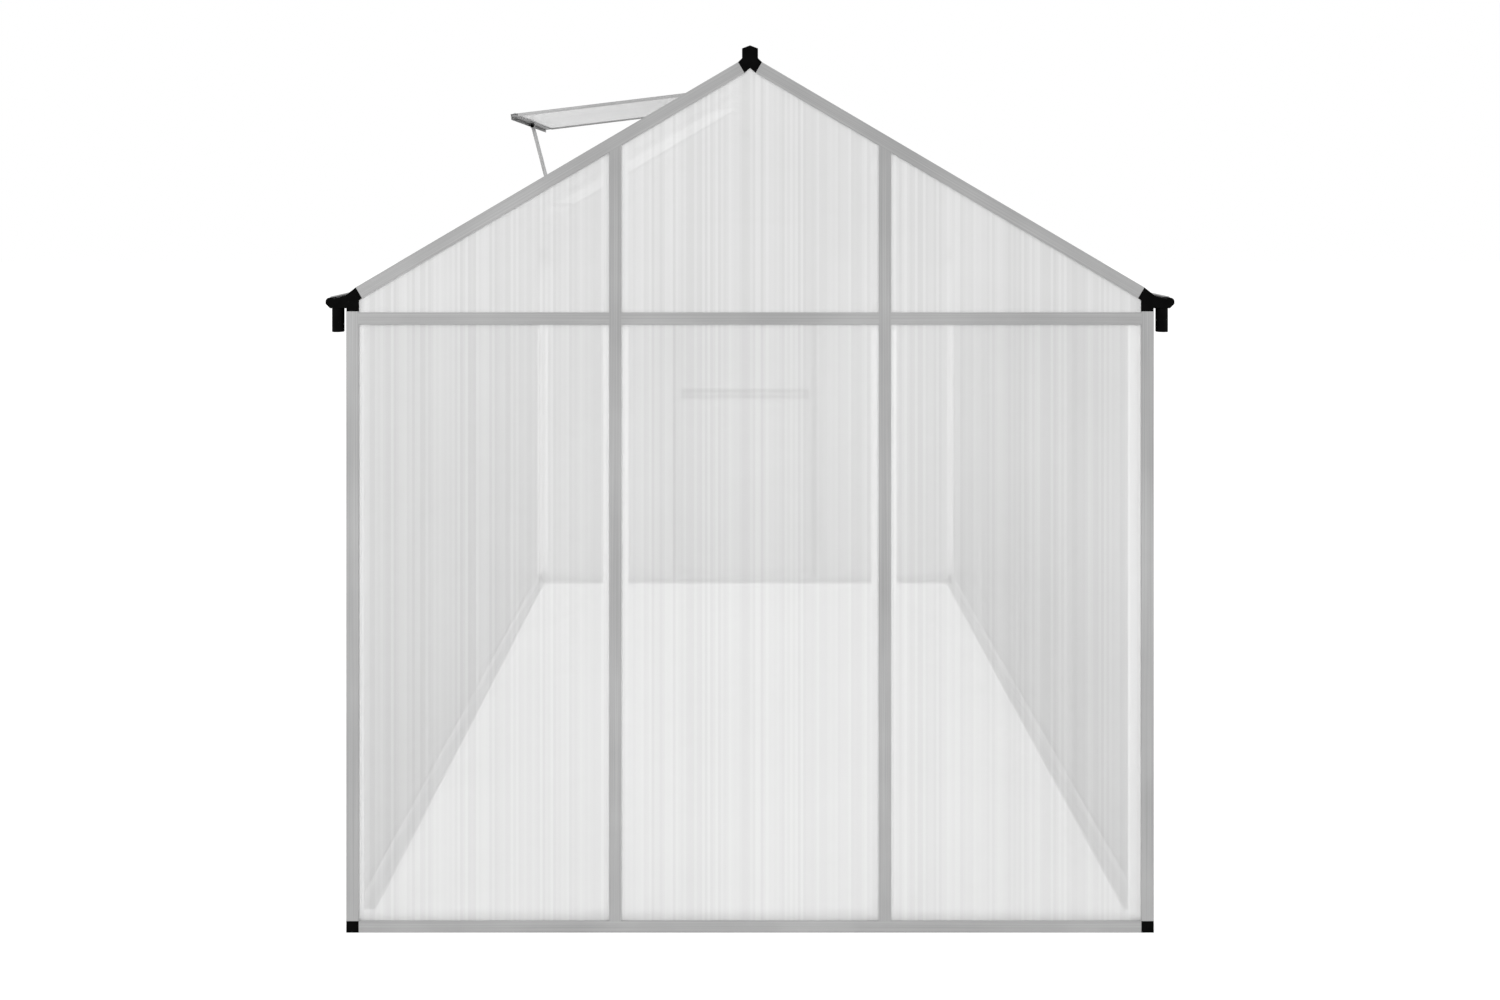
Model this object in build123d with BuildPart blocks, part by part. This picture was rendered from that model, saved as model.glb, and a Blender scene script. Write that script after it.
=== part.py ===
from build123d import *

import os
from math import cos, radians, sin, tan

# Greenhouse of aluminium bars and twin-wall sheets: a gable without a door at the rear, a sliding door
# in the front gable, a gutter along each side and one roof vent propped open on the left slope.
# Millimetres, +Z up, +X to the right seen from the rear gable, +Y from the rear gable to the front one.
# The origin lies on the ground under the middle of the overall box.

# Overall sizes
WIDTH = 1820.0  # across the outer faces of the side walls
LENGTH = 2520.0  # between the outer faces of the gables
EAVES = 1442.0  # height of the roof's top plane above a side wall's outer face
PITCH = 30.5  # slope of the roof, in degrees
SIDE_BAYS = 4  # sheets along each side wall and each slope
DOORWAY = 608.0  # between the centre lines of a gable's two mullions
TRANSOM_DROP = 58.0  # of the gable bars' centre line below the eaves

# Sheets
SHEET = 4.0  # thickness
SHEET_PLAY = 0.3  # between a sheet and each lip that holds it
EDGE_PLAY = 1.5  # between a sheet's edge and the floor of its slot

# Extruded bars: an outer face, a slot each side of a neck, and two wings that slope back from the slots
FACE = 27.0  # width of the outer face
LIP = 1.8  # thickness of the outer face
PLATE = 1.6  # thickness of every other wall
NECK = 3.0  # wall between the two sheet slots
WING = 57.0  # width across the wings
WING_ROOT = 9.0  # distance of each wing's root from the bar's middle
BAR_DEPTH = 15.0  # from the outer face to the wing tips
CHANNEL = 12.0  # inside width of the bolt channel on the bar's back
CHANNEL_MOUTH = 8.0  # opening of the bolt channel

# Corner posts and gable rafters: one extrusion with two legs at a right angle
CORNER = 28.0  # width of each leg's outer face
CORNER_SLOT = 10.0  # distance of each slot's floor from the corner
SHORT_WING = 35.0  # reach of the first leg's wing from the corner
LONG_WING = 53.0  # reach of the second leg's wing

# Base rails
RAIL_FACE = 26.0  # height of the outer lip
SHELF = 12.0  # height of the shelf that sheets and bars stand on
UPSTAND = 43.0  # height of the inner flange
RAIL_DEPTH = 40.0  # width of the foot
TOE = 8.0  # height of the foot's inner edge
STANDING_PLAY = 0.2  # between a bar's back and the flange behind it
TONGUE = 30.0  # length of the plug that each base corner pushes into a rail
TONGUE_PLAY = 0.3  # around each plug

# Eaves beams with their gutters; heights are below the roof's top plane at the wall
GUTTER_REACH = 46.0  # of the trough beyond the wall
GUTTER_FLOOR = 33.0  # depth of the trough's floor
GUTTER_LIP = 13.0  # depth of the bead's centre
GUTTER_WALL = 1.8
GUTTER_BEND = 11.0  # outer radius between the floor and the front
BEAD = 3.0  # radius of the rolled front edge
BEAM_SKIRT = 71.0  # depth of the outer wall's lower edge
BEAM_BACK = 84.0  # depth of the inner flange's lower edge
BEAM_STOP = 40.0  # depth of the plate above the bars' tops
SEAT_IN = 35.0  # reach of the sloping seat inside the wall
SEAT_OUT = 5.0  # reach of the sloping seat over the trough

# Moulded eaves connectors and their spouts
CAP_REACH = 47.0  # beyond the wall
CAP_FLOOR = 35.0  # depth of the underside
CAP_FOOT = 42.0  # depth of the face that stands on the post
CAP_INNER = 17.0  # depth where the inner side turns towards the rafter
CAP_LOBE = 9.0  # radius of the outer top corner
CAP_CREST = 11.0  # depth of the lobe's top
CAP_CREST_START = 33.0  # beyond the wall, where the lobe's top begins
CAP_DIP = 14.0  # depth of the dip between the arm and the lobe
CAP_DIP_REACH = 28.0  # of the dip beyond the wall
CAP_ARM = 6.0  # depth of the arm where it leaves the wall
CAP_ARM_REACH = 2.0  # of that place beyond the wall
CAP_CHAMFER = 10.0  # of the outer bottom corner
CAP_WALL = 4.0
MOULD_CHAMFER = 1.2  # round the outer ends of the moulded pieces
RAFTER_START = 24.4  # distance up the slope of the cut that the rafter butts against
SPOUT = 27.0  # outer diameter
SPOUT_BORE = 21.0
SPOUT_DROP = 54.0  # length below the connector
SPOUT_CENTRE = 22.5  # beyond the wall

# Ridge beam and its moulded ends; heights are from the crossing of the two top planes
RIDGE_TOP = 20.5
RIDGE_SHOULDER = 13.0
RIDGE_HALF = 12.0  # half the width of the hollow
RIDGE_BELLY = 25.0  # depth of the hollow's lowest edge
RIDGE_LIP = 40.0  # reach of the lips over the roof sheets
HOOK_REACH = 17.0  # of the hinge hook beyond the middle
HOOK_TOP = 6.6
HOOK_DROP = 1.5  # height of the hook's free edge
RIDGE_CAP_TOP = 22.0
RIDGE_CAP_HALF = 18.0
RIDGE_CAP_SHOULDER = 15.0
RIDGE_CAP_WAIST = 7.0  # depth where the sides flare out
RIDGE_CAP_FLARE = 27.0  # half the width across the flares
RIDGE_CAP_NOTCH = 29.0  # depth of the notch underneath
BUTT_PLAY = 0.3  # between a bar's end and the piece it meets

# Roof vent, propped open on the left slope
VENT_BAY = 2  # counted from the front gable
VENT_LENGTH = 650.0  # from its hinge line to its free edge
VENT_LEAN = 6.9  # slope at which it is propped, in degrees
VENT_HINGE_OUT = 19.5  # hinge line from the middle of the ridge
VENT_HINGE_DROP = 6.0  # depth of the vent's top face there
VENT_SIDE_PLAY = 2.0  # between the vent and each roof bar's face
VENT_LIP = 20.0  # width of the frame's top lips
VENT_FLANGE = 8.0  # width of the side bars' flange under the sheet
VENT_DEPTH = 9.0  # of the side bars
VENT_EDGE_DEPTH = 16.0  # of the bar along the free edge
VENT_TOP_START = 8.0  # of the top bar's slot, from the hinge line
VENT_TOP_END = 23.0
SILL_LAP = 7.0  # of the closed vent's free edge above the centre line of the bar that it shuts on
SILL_UPSTAND = 8.0
STAY_WIDTH = 11.0
STAY_THICKNESS = 3.0
STAY_PIN = 2.2  # radius of the pins at its ends
STAY_PIN_PLAY = 0.3
STAY_SET_IN = 9.0  # of the upper pin from the vent's free edge
BRACKET_PIN = 14.0  # distance of each pin from the face its bracket stands on
BRACKET_EDGE = 6.0  # of each bracket past its pin
BRACKET_THICKNESS = 2.0

# Sliding door, outside the front gable
DOOR_LAP = 6.0  # of the door past the centre line of each jamb
DOOR_FOOT = 8.0  # height of its lower edge
DOOR_RISE = 154.0  # of its upper edge above the eaves
DOOR_GAP = 3.0  # between the door and the gable's outer face
DOOR_DEPTH = 18.0
DOOR_TUBE = 14.0  # width of the hollow part of each door bar
DOOR_LIP = 14.0  # reach of its slot over the sheet
DOOR_MIDDLE = 815.0  # centre line of the middle bar
TRACK_PLAY = 4.0  # between the door's upper edge and the track
TRACK_HEIGHT = 34.0
TRACK_DEPTH = 24.0
TRACK_SHELF = 8.0  # height of the shelves above the track's lower edge
TRACK_SLOT = 4.0
OPEN_LAP = 20.5  # of the fully opened door over the doorway
TRACK_OVERRUN = 6.0  # past the closed door
GUIDE_FOOT = 4.0
GUIDE_BACK = 24.0
GUIDE_FRONT = 22.0
GUIDE_DEPTH = 26.0
ROLLER = 16.0  # diameter
ROLLER_WIDTH = 7.0
ROLLER_INSET = 90.0  # of each roller from the door's edge
HANGER_WIDTH = 24.0
HANGER = 2.0  # thickness
HANDLE_HEIGHT = 960.0  # of its middle
HANDLE_LENGTH = 130.0
HANDLE_REACH = 25.0
HANDLE_ROD = 9.0
HANDLE_BEND = 14.0

# Worked-out values
SLOT = SHEET + 2 * SHEET_PLAY
BACK = LIP + SLOT
SLOT_WALL = BACK + PLATE
SHEET_BACK = LIP + SHEET_PLAY + SHEET
SIN = sin(radians(PITCH))
COS = cos(radians(PITCH))
TAN = tan(radians(PITCH))
APEX = EAVES + WIDTH / 2 * TAN
SLOPE = WIDTH / 2 / COS
BAY = (LENGTH - CORNER) / SIDE_BAYS
BAR_PLACES = [CORNER / 2 + BAY * number for number in range(1, SIDE_BAYS)]
MULLION_PLACES = [(WIDTH - DOORWAY) / 2, (WIDTH + DOORWAY) / 2]
WALL_TOP = EAVES - CAP_FOOT
TRANSOM_HEIGHT = EAVES - TRANSOM_DROP
SILL = SLOPE - VENT_HINGE_OUT / COS - VENT_LENGTH - SILL_LAP
DOOR_WIDTH = DOORWAY + 2 * DOOR_LAP
DOOR_TOP = EAVES + DOOR_RISE
TRACK_FOOT = DOOR_TOP + TRACK_PLAY
TRACK_START = MULLION_PLACES[0] + FACE / 2 + OPEN_LAP - DOOR_WIDTH
SHEET_EDGE = NECK / 2 + EDGE_PLAY
CORNER_EDGE = CORNER_SLOT + EDGE_PLAY
FRONT_REACH = DOOR_GAP + DOOR_DEPTH + HANDLE_REACH
REAR_Y = -(LENGTH + FRONT_REACH) / 2
FRONT_Y = REAR_Y + LENGTH
RAFTER_END = SLOPE - RIDGE_CAP_FLARE / COS

# Each wall and slope is a plane seen from outside: x runs along it, y into the building and z up it
REAR = Plane(origin=(-WIDTH / 2, REAR_Y, 0), x_dir=(1, 0, 0), z_dir=(0, 0, 1))
RIGHT = Plane(origin=(WIDTH / 2, REAR_Y, 0), x_dir=(0, 1, 0), z_dir=(0, 0, 1))
FRONT = Plane(origin=(WIDTH / 2, FRONT_Y, 0), x_dir=(-1, 0, 0), z_dir=(0, 0, 1))
LEFT = Plane(origin=(-WIDTH / 2, FRONT_Y, 0), x_dir=(0, -1, 0), z_dir=(0, 0, 1))
RIGHT_SLOPE = Plane(origin=(WIDTH / 2, REAR_Y, EAVES), x_dir=(0, 1, 0), z_dir=(-COS, 0, SIN))
LEFT_SLOPE = Plane(origin=(-WIDTH / 2, FRONT_Y, EAVES), x_dir=(0, -1, 0), z_dir=(COS, 0, SIN))
RIDGE = Plane(origin=(0, REAR_Y, APEX), x_dir=(-1, 0, 0), z_dir=(0, 1, 0))
SIDES = {"left": LEFT, "right": RIGHT}
SLOPES = {"left": LEFT_SLOPE, "right": RIGHT_SLOPE}
GABLES = {"rear": REAR, "front": FRONT}


def upright(face, along, up=0.0):
    """The plane across a bar that climbs a wall or slope."""
    return Plane(origin=face.from_local_coords((along, 0, up)), x_dir=face.x_dir, z_dir=face.z_dir)


def level(face, along, up=0.0):
    """The plane across a bar that lies level on a wall or slope: x points inwards and y up."""
    return Plane(origin=face.from_local_coords((along, 0, up)), x_dir=face.y_dir, z_dir=face.x_dir)


def elevation(face, depth):
    """The plane seen square on from outside at a depth behind the outer face: x along and y up."""
    return Plane(origin=face.from_local_coords((0, depth, 0)), x_dir=face.x_dir, z_dir=-face.y_dir)


def under_roof(distance, depth=0.0):
    """Height, above the roof's lower edge, of the plane at a depth under the roof's top plane."""
    return distance * TAN - depth / COS


# Where the moulded connectors' cuts end on the underside of the rafters
EAVES_CUT_FOOT = (RAFTER_START * COS + CORNER * SIN, RAFTER_START * SIN - CORNER * COS)
RIDGE_CUT_FOOT = (RIDGE_CAP_FLARE - CORNER * SIN, under_roof(-RIDGE_CAP_FLARE) - CORNER * COS)


def plate(left, bottom, right, top):
    """A rectangle in the open sketch, by its corners."""
    with Locations(((left + right) / 2, (bottom + top) / 2)):
        Rectangle(abs(right - left), abs(top - bottom))


def sloped(start, end, near, far):
    """A strip in the open sketch between two depths under the roof's top plane."""
    Polygon(
        (start, under_roof(start, far)),
        (end, under_roof(end, far)),
        (end, under_roof(end, near)),
        (start, under_roof(start, near)),
        align=None,
    )


def wing_outline(root, tip):
    """The corners of a wing that slopes back from a slot wall to the bar's full depth."""
    start = SLOT_WALL - STANDING_PLAY
    return [(root, start), (tip, BAR_DEPTH - PLATE), (tip, BAR_DEPTH), (root, start + PLATE)]


def bar_section():
    """A stud, mullion or roof bar: x across its outer face, y into the building."""
    with BuildSketch() as section:
        plate(-FACE / 2, 0, FACE / 2, LIP)
        plate(-NECK / 2, LIP, NECK / 2, BACK)
        plate(-FACE / 2, BACK, FACE / 2, SLOT_WALL)
        for side in (-1, 1):
            Polygon(*[(side * x, y) for x, y in wing_outline(WING_ROOT, WING / 2)], align=None)
            plate(side * CHANNEL / 2, BACK, side * (CHANNEL / 2 + PLATE), BAR_DEPTH)
            plate(side * CHANNEL_MOUTH / 2, BAR_DEPTH - PLATE, side * (CHANNEL / 2 + PLATE), BAR_DEPTH)
    return section.sketch


def corner_section(first_wing=None, second_wing=None):
    """A corner bar: its first leg runs along x and its second along y."""
    with BuildSketch() as section:
        for turned, wing in ((False, first_wing), (True, second_wing)):
            web = CORNER_SLOT - PLATE
            outlines = [
                [(0, 0), (CORNER, 0), (CORNER, LIP), (0, LIP)],
                [(web, 0), (CORNER_SLOT, 0), (CORNER_SLOT, CORNER_SLOT), (web, CORNER_SLOT)],
                [(web, BACK), (CORNER, BACK), (CORNER, SLOT_WALL), (web, SLOT_WALL)],
            ]
            if wing:
                outlines.append(wing_outline(CORNER - (FACE / 2 - WING_ROOT), wing))
            for outline in outlines:
                Polygon(*[(y, x) if turned else (x, y) for x, y in outline], align=None)
    return section.sketch


def transom_section():
    """A bar across a gable, shallow enough to pass in front of the mullions' wings."""
    with BuildSketch() as section:
        plate(0, -FACE / 2, LIP, FACE / 2)
        plate(LIP, -NECK / 2, BACK, NECK / 2)
        plate(BACK, -FACE / 2, SLOT_WALL, FACE / 2)
    return section.sketch


def base_section():
    """A base rail: outer lip, shelf, inner flange and a wide foot."""
    flange = BAR_DEPTH + STANDING_PLAY
    with BuildSketch() as section:
        plate(0, 0, LIP, RAIL_FACE)
        plate(0, 0, RAIL_DEPTH, LIP)
        plate(0, SHELF - LIP, flange, SHELF)
        plate(flange, 0, flange + PLATE, UPSTAND)
        plate(RAIL_DEPTH - PLATE, 0, RAIL_DEPTH, TOE)
    return section.sketch


def eaves_section():
    """An eaves beam with its gutter: x into the building, y up from the roof's lower edge."""
    flange = BAR_DEPTH + STANDING_PLAY
    inner = GUTTER_REACH - GUTTER_WALL
    with BuildSketch() as section:
        plate(0, -BEAM_SKIRT, LIP, under_roof(0, BACK) - PLATE / 2)
        plate(0, -BEAM_STOP - LIP, flange, -BEAM_STOP)
        plate(flange, -BEAM_BACK, flange + PLATE, under_roof(flange, BACK + PLATE / 2))
        sloped(-SEAT_OUT, SEAT_IN, BACK, SLOT_WALL)
        with BuildLine():
            Line((LIP, -GUTTER_FLOOR), (GUTTER_BEND - GUTTER_REACH, -GUTTER_FLOOR))
            RadiusArc(
                (GUTTER_BEND - GUTTER_REACH, -GUTTER_FLOOR),
                (-inner, GUTTER_BEND - GUTTER_WALL - GUTTER_FLOOR),
                GUTTER_BEND - GUTTER_WALL,
            )
            Polyline(
                (-inner, GUTTER_BEND - GUTTER_WALL - GUTTER_FLOOR),
                (-inner, -GUTTER_LIP),
                (-GUTTER_REACH, -GUTTER_LIP),
                (-GUTTER_REACH, GUTTER_BEND - GUTTER_WALL - GUTTER_FLOOR),
            )
            RadiusArc(
                (-GUTTER_REACH, GUTTER_BEND - GUTTER_WALL - GUTTER_FLOOR),
                (GUTTER_BEND - GUTTER_REACH, -GUTTER_FLOOR - GUTTER_WALL),
                -GUTTER_BEND,
            )
            Polyline(
                (GUTTER_BEND - GUTTER_REACH, -GUTTER_FLOOR - GUTTER_WALL),
                (LIP, -GUTTER_FLOOR - GUTTER_WALL),
                (LIP, -GUTTER_FLOOR),
            )
        make_face()
        with Locations((BEAD - GUTTER_REACH, -GUTTER_LIP)):
            Circle(BEAD)
    return section.sketch


def eaves_cap_section():
    """The outline of a moulded eaves connector, in the same place as the beam's section."""
    cut_top = (RAFTER_START * COS, RAFTER_START * SIN)
    lobe_start = (CAP_LOBE - CAP_REACH, -CAP_CREST)
    lobe_end = (-CAP_REACH, -CAP_CREST - CAP_LOBE)
    with BuildSketch() as section:
        with BuildLine():
            Polyline(
                lobe_end,
                (-CAP_REACH, CAP_CHAMFER - CAP_FLOOR),
                (CAP_CHAMFER - CAP_REACH, -CAP_FLOOR),
                (0, -CAP_FLOOR),
                (0, -CAP_FOOT),
                (CORNER, -CAP_FOOT),
                (CORNER, -CAP_INNER),
                EAVES_CUT_FOOT,
                cut_top,
                (-CAP_ARM_REACH, -CAP_ARM),
                (-CAP_DIP_REACH, -CAP_DIP),
                (-CAP_CREST_START, -CAP_CREST),
                lobe_start,
            )
            RadiusArc(lobe_start, lobe_end, -CAP_LOBE)
        make_face()
    return section.sketch


def ridge_section():
    """The ridge beam: a pointed hollow, a lip and a seat on each slope, and a hinge hook on each side."""
    with BuildSketch() as section:
        half = [
            (RIDGE_HALF, RIDGE_SHOULDER),
            (RIDGE_HALF, under_roof(-RIDGE_HALF, SLOT_WALL)),
        ]
        mirrored = [(-x, y) for x, y in reversed(half)]
        Polygon((0, RIDGE_TOP), *half, (0, -RIDGE_BELLY), *mirrored, align=None)
        offset(amount=-PLATE, kind=Kind.INTERSECTION, mode=Mode.SUBTRACT)
        for side in (-1, 1):
            for near, far in ((0, LIP), (BACK, SLOT_WALL)):
                start = RIDGE_HALF - PLATE / 2
                Polygon(
                    (side * start, under_roof(-start, near)),
                    (side * RIDGE_LIP, under_roof(-RIDGE_LIP, near)),
                    (side * RIDGE_LIP, under_roof(-RIDGE_LIP, far)),
                    (side * start, under_roof(-start, far)),
                    align=None,
                )
            plate(side * (RIDGE_HALF - PLATE / 2), HOOK_TOP - PLATE, side * HOOK_REACH, HOOK_TOP)
            plate(side * (HOOK_REACH - PLATE), HOOK_DROP, side * HOOK_REACH, HOOK_TOP)
    return section.sketch


def ridge_cap_section():
    """The outline of a moulded ridge connector, with cuts square to the rafters."""
    half = [
        (RIDGE_CAP_HALF, RIDGE_CAP_SHOULDER),
        (RIDGE_CAP_HALF, -RIDGE_CAP_WAIST),
        (RIDGE_CAP_FLARE, under_roof(-RIDGE_CAP_FLARE)),
        RIDGE_CUT_FOOT,
    ]
    with BuildSketch() as section:
        mirrored = [(-x, y) for x, y in reversed(half)]
        Polygon((0, RIDGE_CAP_TOP), *half, (0, -RIDGE_CAP_NOTCH), *mirrored, align=None)
    return section.sketch


def door_bar_section(slots=(1,), level_bar=False):
    """A door bar: a hollow tube with a sheet slot on one or both sides."""
    slot_near = (DOOR_DEPTH - SLOT) / 2
    slot_far = (DOOR_DEPTH + SLOT) / 2
    with BuildSketch() as section:
        outlines = []
        for side in slots:
            tube = side * DOOR_TUBE / 2
            tip = side * (DOOR_TUBE / 2 + DOOR_LIP)
            outlines.append((tube, slot_near - PLATE, tip, slot_near))
            outlines.append((tube, slot_far, tip, slot_far + PLATE))
        half = DOOR_TUBE / 2
        walls = [
            (-half, 0, half, PLATE),
            (-half, DOOR_DEPTH - PLATE, half, DOOR_DEPTH),
            (-half, 0, PLATE - half, DOOR_DEPTH),
            (half - PLATE, 0, half, DOOR_DEPTH),
        ]
        for left, bottom, right, top in outlines + walls:
            if level_bar:
                plate(bottom, left, top, right)
            else:
                plate(left, bottom, right, top)
    return section.sketch


os.makedirs("parts", exist_ok=True)

# Base corners: moulded blocks with a plug into each rail and a slot under the edge of each sheet
with BuildPart() as base_corners:
    tongue_top = SHELF - LIP - TONGUE_PLAY
    tongue_foot = LIP + TONGUE_PLAY
    for wall in (REAR, RIGHT, FRONT, LEFT):
        with BuildSketch(upright(wall, 0)):
            plate(0, 0, CORNER, CORNER)
        extrude(amount=RAIL_FACE)
        with BuildSketch(upright(wall, 0, SHELF)):
            plate(CORNER_SLOT, LIP, CORNER, BACK)
            plate(LIP, CORNER_SLOT, BACK, CORNER)
        extrude(amount=RAIL_FACE - SHELF, mode=Mode.SUBTRACT)
        with BuildSketch(upright(wall, 0, tongue_foot)):
            near = LIP + TONGUE_PLAY
            far = BAR_DEPTH + STANDING_PLAY - TONGUE_PLAY
            plate(CORNER, near, CORNER + TONGUE, far)
            plate(near, CORNER, far, CORNER + TONGUE)
        extrude(amount=tongue_top - tongue_foot)
base_corners.part.label = "base_corners"
export_step(base_corners.part, "parts/base_corners.step")

# Base rails between the corner blocks, their feet cut short where two rails meet
for name, wall, span in (
    ("rear", REAR, WIDTH),
    ("front", FRONT, WIDTH),
    ("left", LEFT, LENGTH),
    ("right", RIGHT, LENGTH),
):
    with BuildPart() as base_rail:
        with BuildSketch(level(wall, CORNER)):
            add(base_section())
        extrude(amount=span - 2 * CORNER)
        for start in (0, span - RAIL_DEPTH):
            with BuildSketch(upright(wall, start)):
                plate(0, CORNER, RAIL_DEPTH, RAIL_DEPTH)
            extrude(amount=TOE, mode=Mode.SUBTRACT)
    base_rail.part.label = f"{name}_base_rail"
    export_step(base_rail.part, f"parts/{name}_base_rail.step")

# Corner posts, each the same extrusion turned a quarter, standing on the corner blocks
with BuildPart() as corner_posts:
    for wall in (REAR, RIGHT, FRONT, LEFT):
        with BuildSketch(upright(wall, 0, RAIL_FACE)):
            add(corner_section(SHORT_WING, LONG_WING))
        extrude(amount=WALL_TOP - RAIL_FACE)
corner_posts.part.label = "corner_posts"
export_step(corner_posts.part, "parts/corner_posts.step")

# Side studs, notched at the foot and the head to stand inside the rail and the eaves beam
for name, wall in SIDES.items():
    with BuildPart() as studs:
        for place in BAR_PLACES:
            with BuildSketch(upright(wall, place, SHELF)):
                add(bar_section())
            extrude(amount=WALL_TOP - SHELF)
        for foot, head in ((SHELF, RAIL_FACE), (EAVES - BEAM_SKIRT, WALL_TOP)):
            with BuildSketch(upright(wall, 0, foot)):
                plate(0, 0, LENGTH, LIP + STANDING_PLAY)
            extrude(amount=head - foot, mode=Mode.SUBTRACT)
    studs.part.label = f"{name}_studs"
    export_step(studs.part, f"parts/{name}_studs.step")

# Gable mullions, notched at the foot and cut to the slope of the rafters
for name, wall in (("rear_mullions", REAR), ("door_jambs", FRONT)):
    with BuildPart() as mullions:
        for place in MULLION_PLACES:
            with BuildSketch(upright(wall, place, SHELF)):
                add(bar_section())
            extrude(amount=APEX - SHELF)
        with BuildSketch(upright(wall, 0, SHELF)):
            plate(0, 0, WIDTH, LIP + STANDING_PLAY)
        extrude(amount=RAIL_FACE - SHELF, mode=Mode.SUBTRACT)
        for slope in SLOPES.values():
            underside = Plane(origin=slope.from_local_coords((0, CORNER, 0)), z_dir=-slope.y_dir)
            split(bisect_by=underside, keep=Keep.BOTTOM)
    mullions.part.label = name
    export_step(mullions.part, f"parts/{name}.step")

# Bars across the gables at the eaves, between the posts and the mullions
first_gap = (CORNER, MULLION_PLACES[0] - FACE / 2)
middle_gap = (MULLION_PLACES[0] + FACE / 2, MULLION_PLACES[1] - FACE / 2)
last_gap = (MULLION_PLACES[1] + FACE / 2, WIDTH - CORNER)
for name, wall, gaps in (
    ("rear_transoms", REAR, (first_gap, middle_gap, last_gap)),
    ("front_transoms", FRONT, (first_gap, last_gap)),
):
    with BuildPart() as transoms:
        for start, end in gaps:
            with BuildSketch(level(wall, start, TRANSOM_HEIGHT)):
                add(transom_section())
            extrude(amount=end - start)
    transoms.part.label = name
    export_step(transoms.part, f"parts/{name}.step")

# The bar over the doorway
with BuildPart() as door_header:
    with BuildSketch(level(FRONT, middle_gap[0], TRACK_FOOT)):
        add(transom_section())
    extrude(amount=middle_gap[1] - middle_gap[0])
door_header.part.label = "door_header"
export_step(door_header.part, "parts/door_header.step")

# Eaves beams with their gutters
for name, wall in SIDES.items():
    with BuildPart() as eaves_gutter:
        with BuildSketch(level(wall, CORNER, EAVES)):
            add(eaves_section())
        extrude(amount=LENGTH - 2 * CORNER)
    eaves_gutter.part.label = f"{name}_eaves_gutter"
    export_step(eaves_gutter.part, f"parts/{name}_eaves_gutter.step")

# Moulded eaves connectors: each closes a gutter's end and holds a pocket above its spout
with BuildPart() as eaves_connectors:
    for wall in SIDES.values():
        for start, pocket in ((0, CAP_WALL), (LENGTH - CORNER, 0)):
            with BuildSketch(level(wall, start, EAVES)):
                add(eaves_cap_section())
            extrude(amount=CORNER)
            with BuildSketch(level(wall, start + pocket, EAVES)):
                plate(CAP_WALL - CAP_REACH, -GUTTER_FLOOR, -CAP_WALL, -CAP_INNER)
            extrude(amount=CORNER - CAP_WALL, mode=Mode.SUBTRACT)
            with BuildSketch(upright(wall, start + CORNER / 2, EAVES - CAP_FLOOR)):
                with Locations((0, -SPOUT_CENTRE)):
                    Circle(SPOUT_BORE / 2)
            extrude(amount=CAP_FLOOR - GUTTER_FLOOR, mode=Mode.SUBTRACT)
    ends = eaves_connectors.faces().filter_by(Axis.Y).group_by(Axis.Y)
    chamfer(ends[0].edges() + ends[-1].edges(), MOULD_CHAMFER)
eaves_connectors.part.label = "eaves_connectors"
export_step(eaves_connectors.part, "parts/eaves_connectors.step")

# Spouts under the gutters' ends
with BuildPart() as gutter_spouts:
    for wall in SIDES.values():
        for place in (CORNER / 2, LENGTH - CORNER / 2):
            with BuildSketch(upright(wall, place, EAVES - CAP_FLOOR - SPOUT_DROP)):
                with Locations((0, -SPOUT_CENTRE)):
                    Circle(SPOUT / 2)
                    Circle(SPOUT_BORE / 2, mode=Mode.SUBTRACT)
            extrude(amount=SPOUT_DROP)
    fillet(gutter_spouts.edges().group_by(Axis.Z)[0].filter_by(lambda e: e.radius > SPOUT_BORE / 2 + 1), 1.4)
gutter_spouts.part.label = "gutter_spouts"
export_step(gutter_spouts.part, "parts/gutter_spouts.step")

# Ridge beam between its connectors
with BuildPart() as ridge_beam:
    with BuildSketch(RIDGE.offset(CORNER)):
        add(ridge_section())
    extrude(amount=LENGTH - 2 * CORNER)
ridge_beam.part.label = "ridge_beam"
export_step(ridge_beam.part, "parts/ridge_beam.step")

# Moulded ridge connectors
with BuildPart() as ridge_connectors:
    for start in (0, LENGTH - CORNER):
        with BuildSketch(RIDGE.offset(start)):
            add(ridge_cap_section())
        extrude(amount=CORNER)
    ends = ridge_connectors.faces().filter_by(Axis.Y).group_by(Axis.Y)
    chamfer(ends[0].edges() + ends[-1].edges(), MOULD_CHAMFER)
ridge_connectors.part.label = "ridge_connectors"
export_step(ridge_connectors.part, "parts/ridge_connectors.step")

# Gable rafters: the corner extrusion without wings, between the eaves and ridge connectors
for name, first, second in (("rear", RIGHT_SLOPE, LEFT_SLOPE), ("front", LEFT_SLOPE, RIGHT_SLOPE)):
    with BuildPart() as rafters:
        with BuildSketch(upright(first, 0, RAFTER_START)):
            add(corner_section())
        extrude(amount=RAFTER_END - RAFTER_START)
        top = second.from_local_coords((LENGTH, 0, RAFTER_END))
        with BuildSketch(Plane(origin=top, x_dir=-second.x_dir, z_dir=-second.z_dir)):
            add(corner_section())
        extrude(amount=RAFTER_END - RAFTER_START)
    rafters.part.label = f"{name}_rafters"
    export_step(rafters.part, f"parts/{name}_rafters.step")

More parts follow.
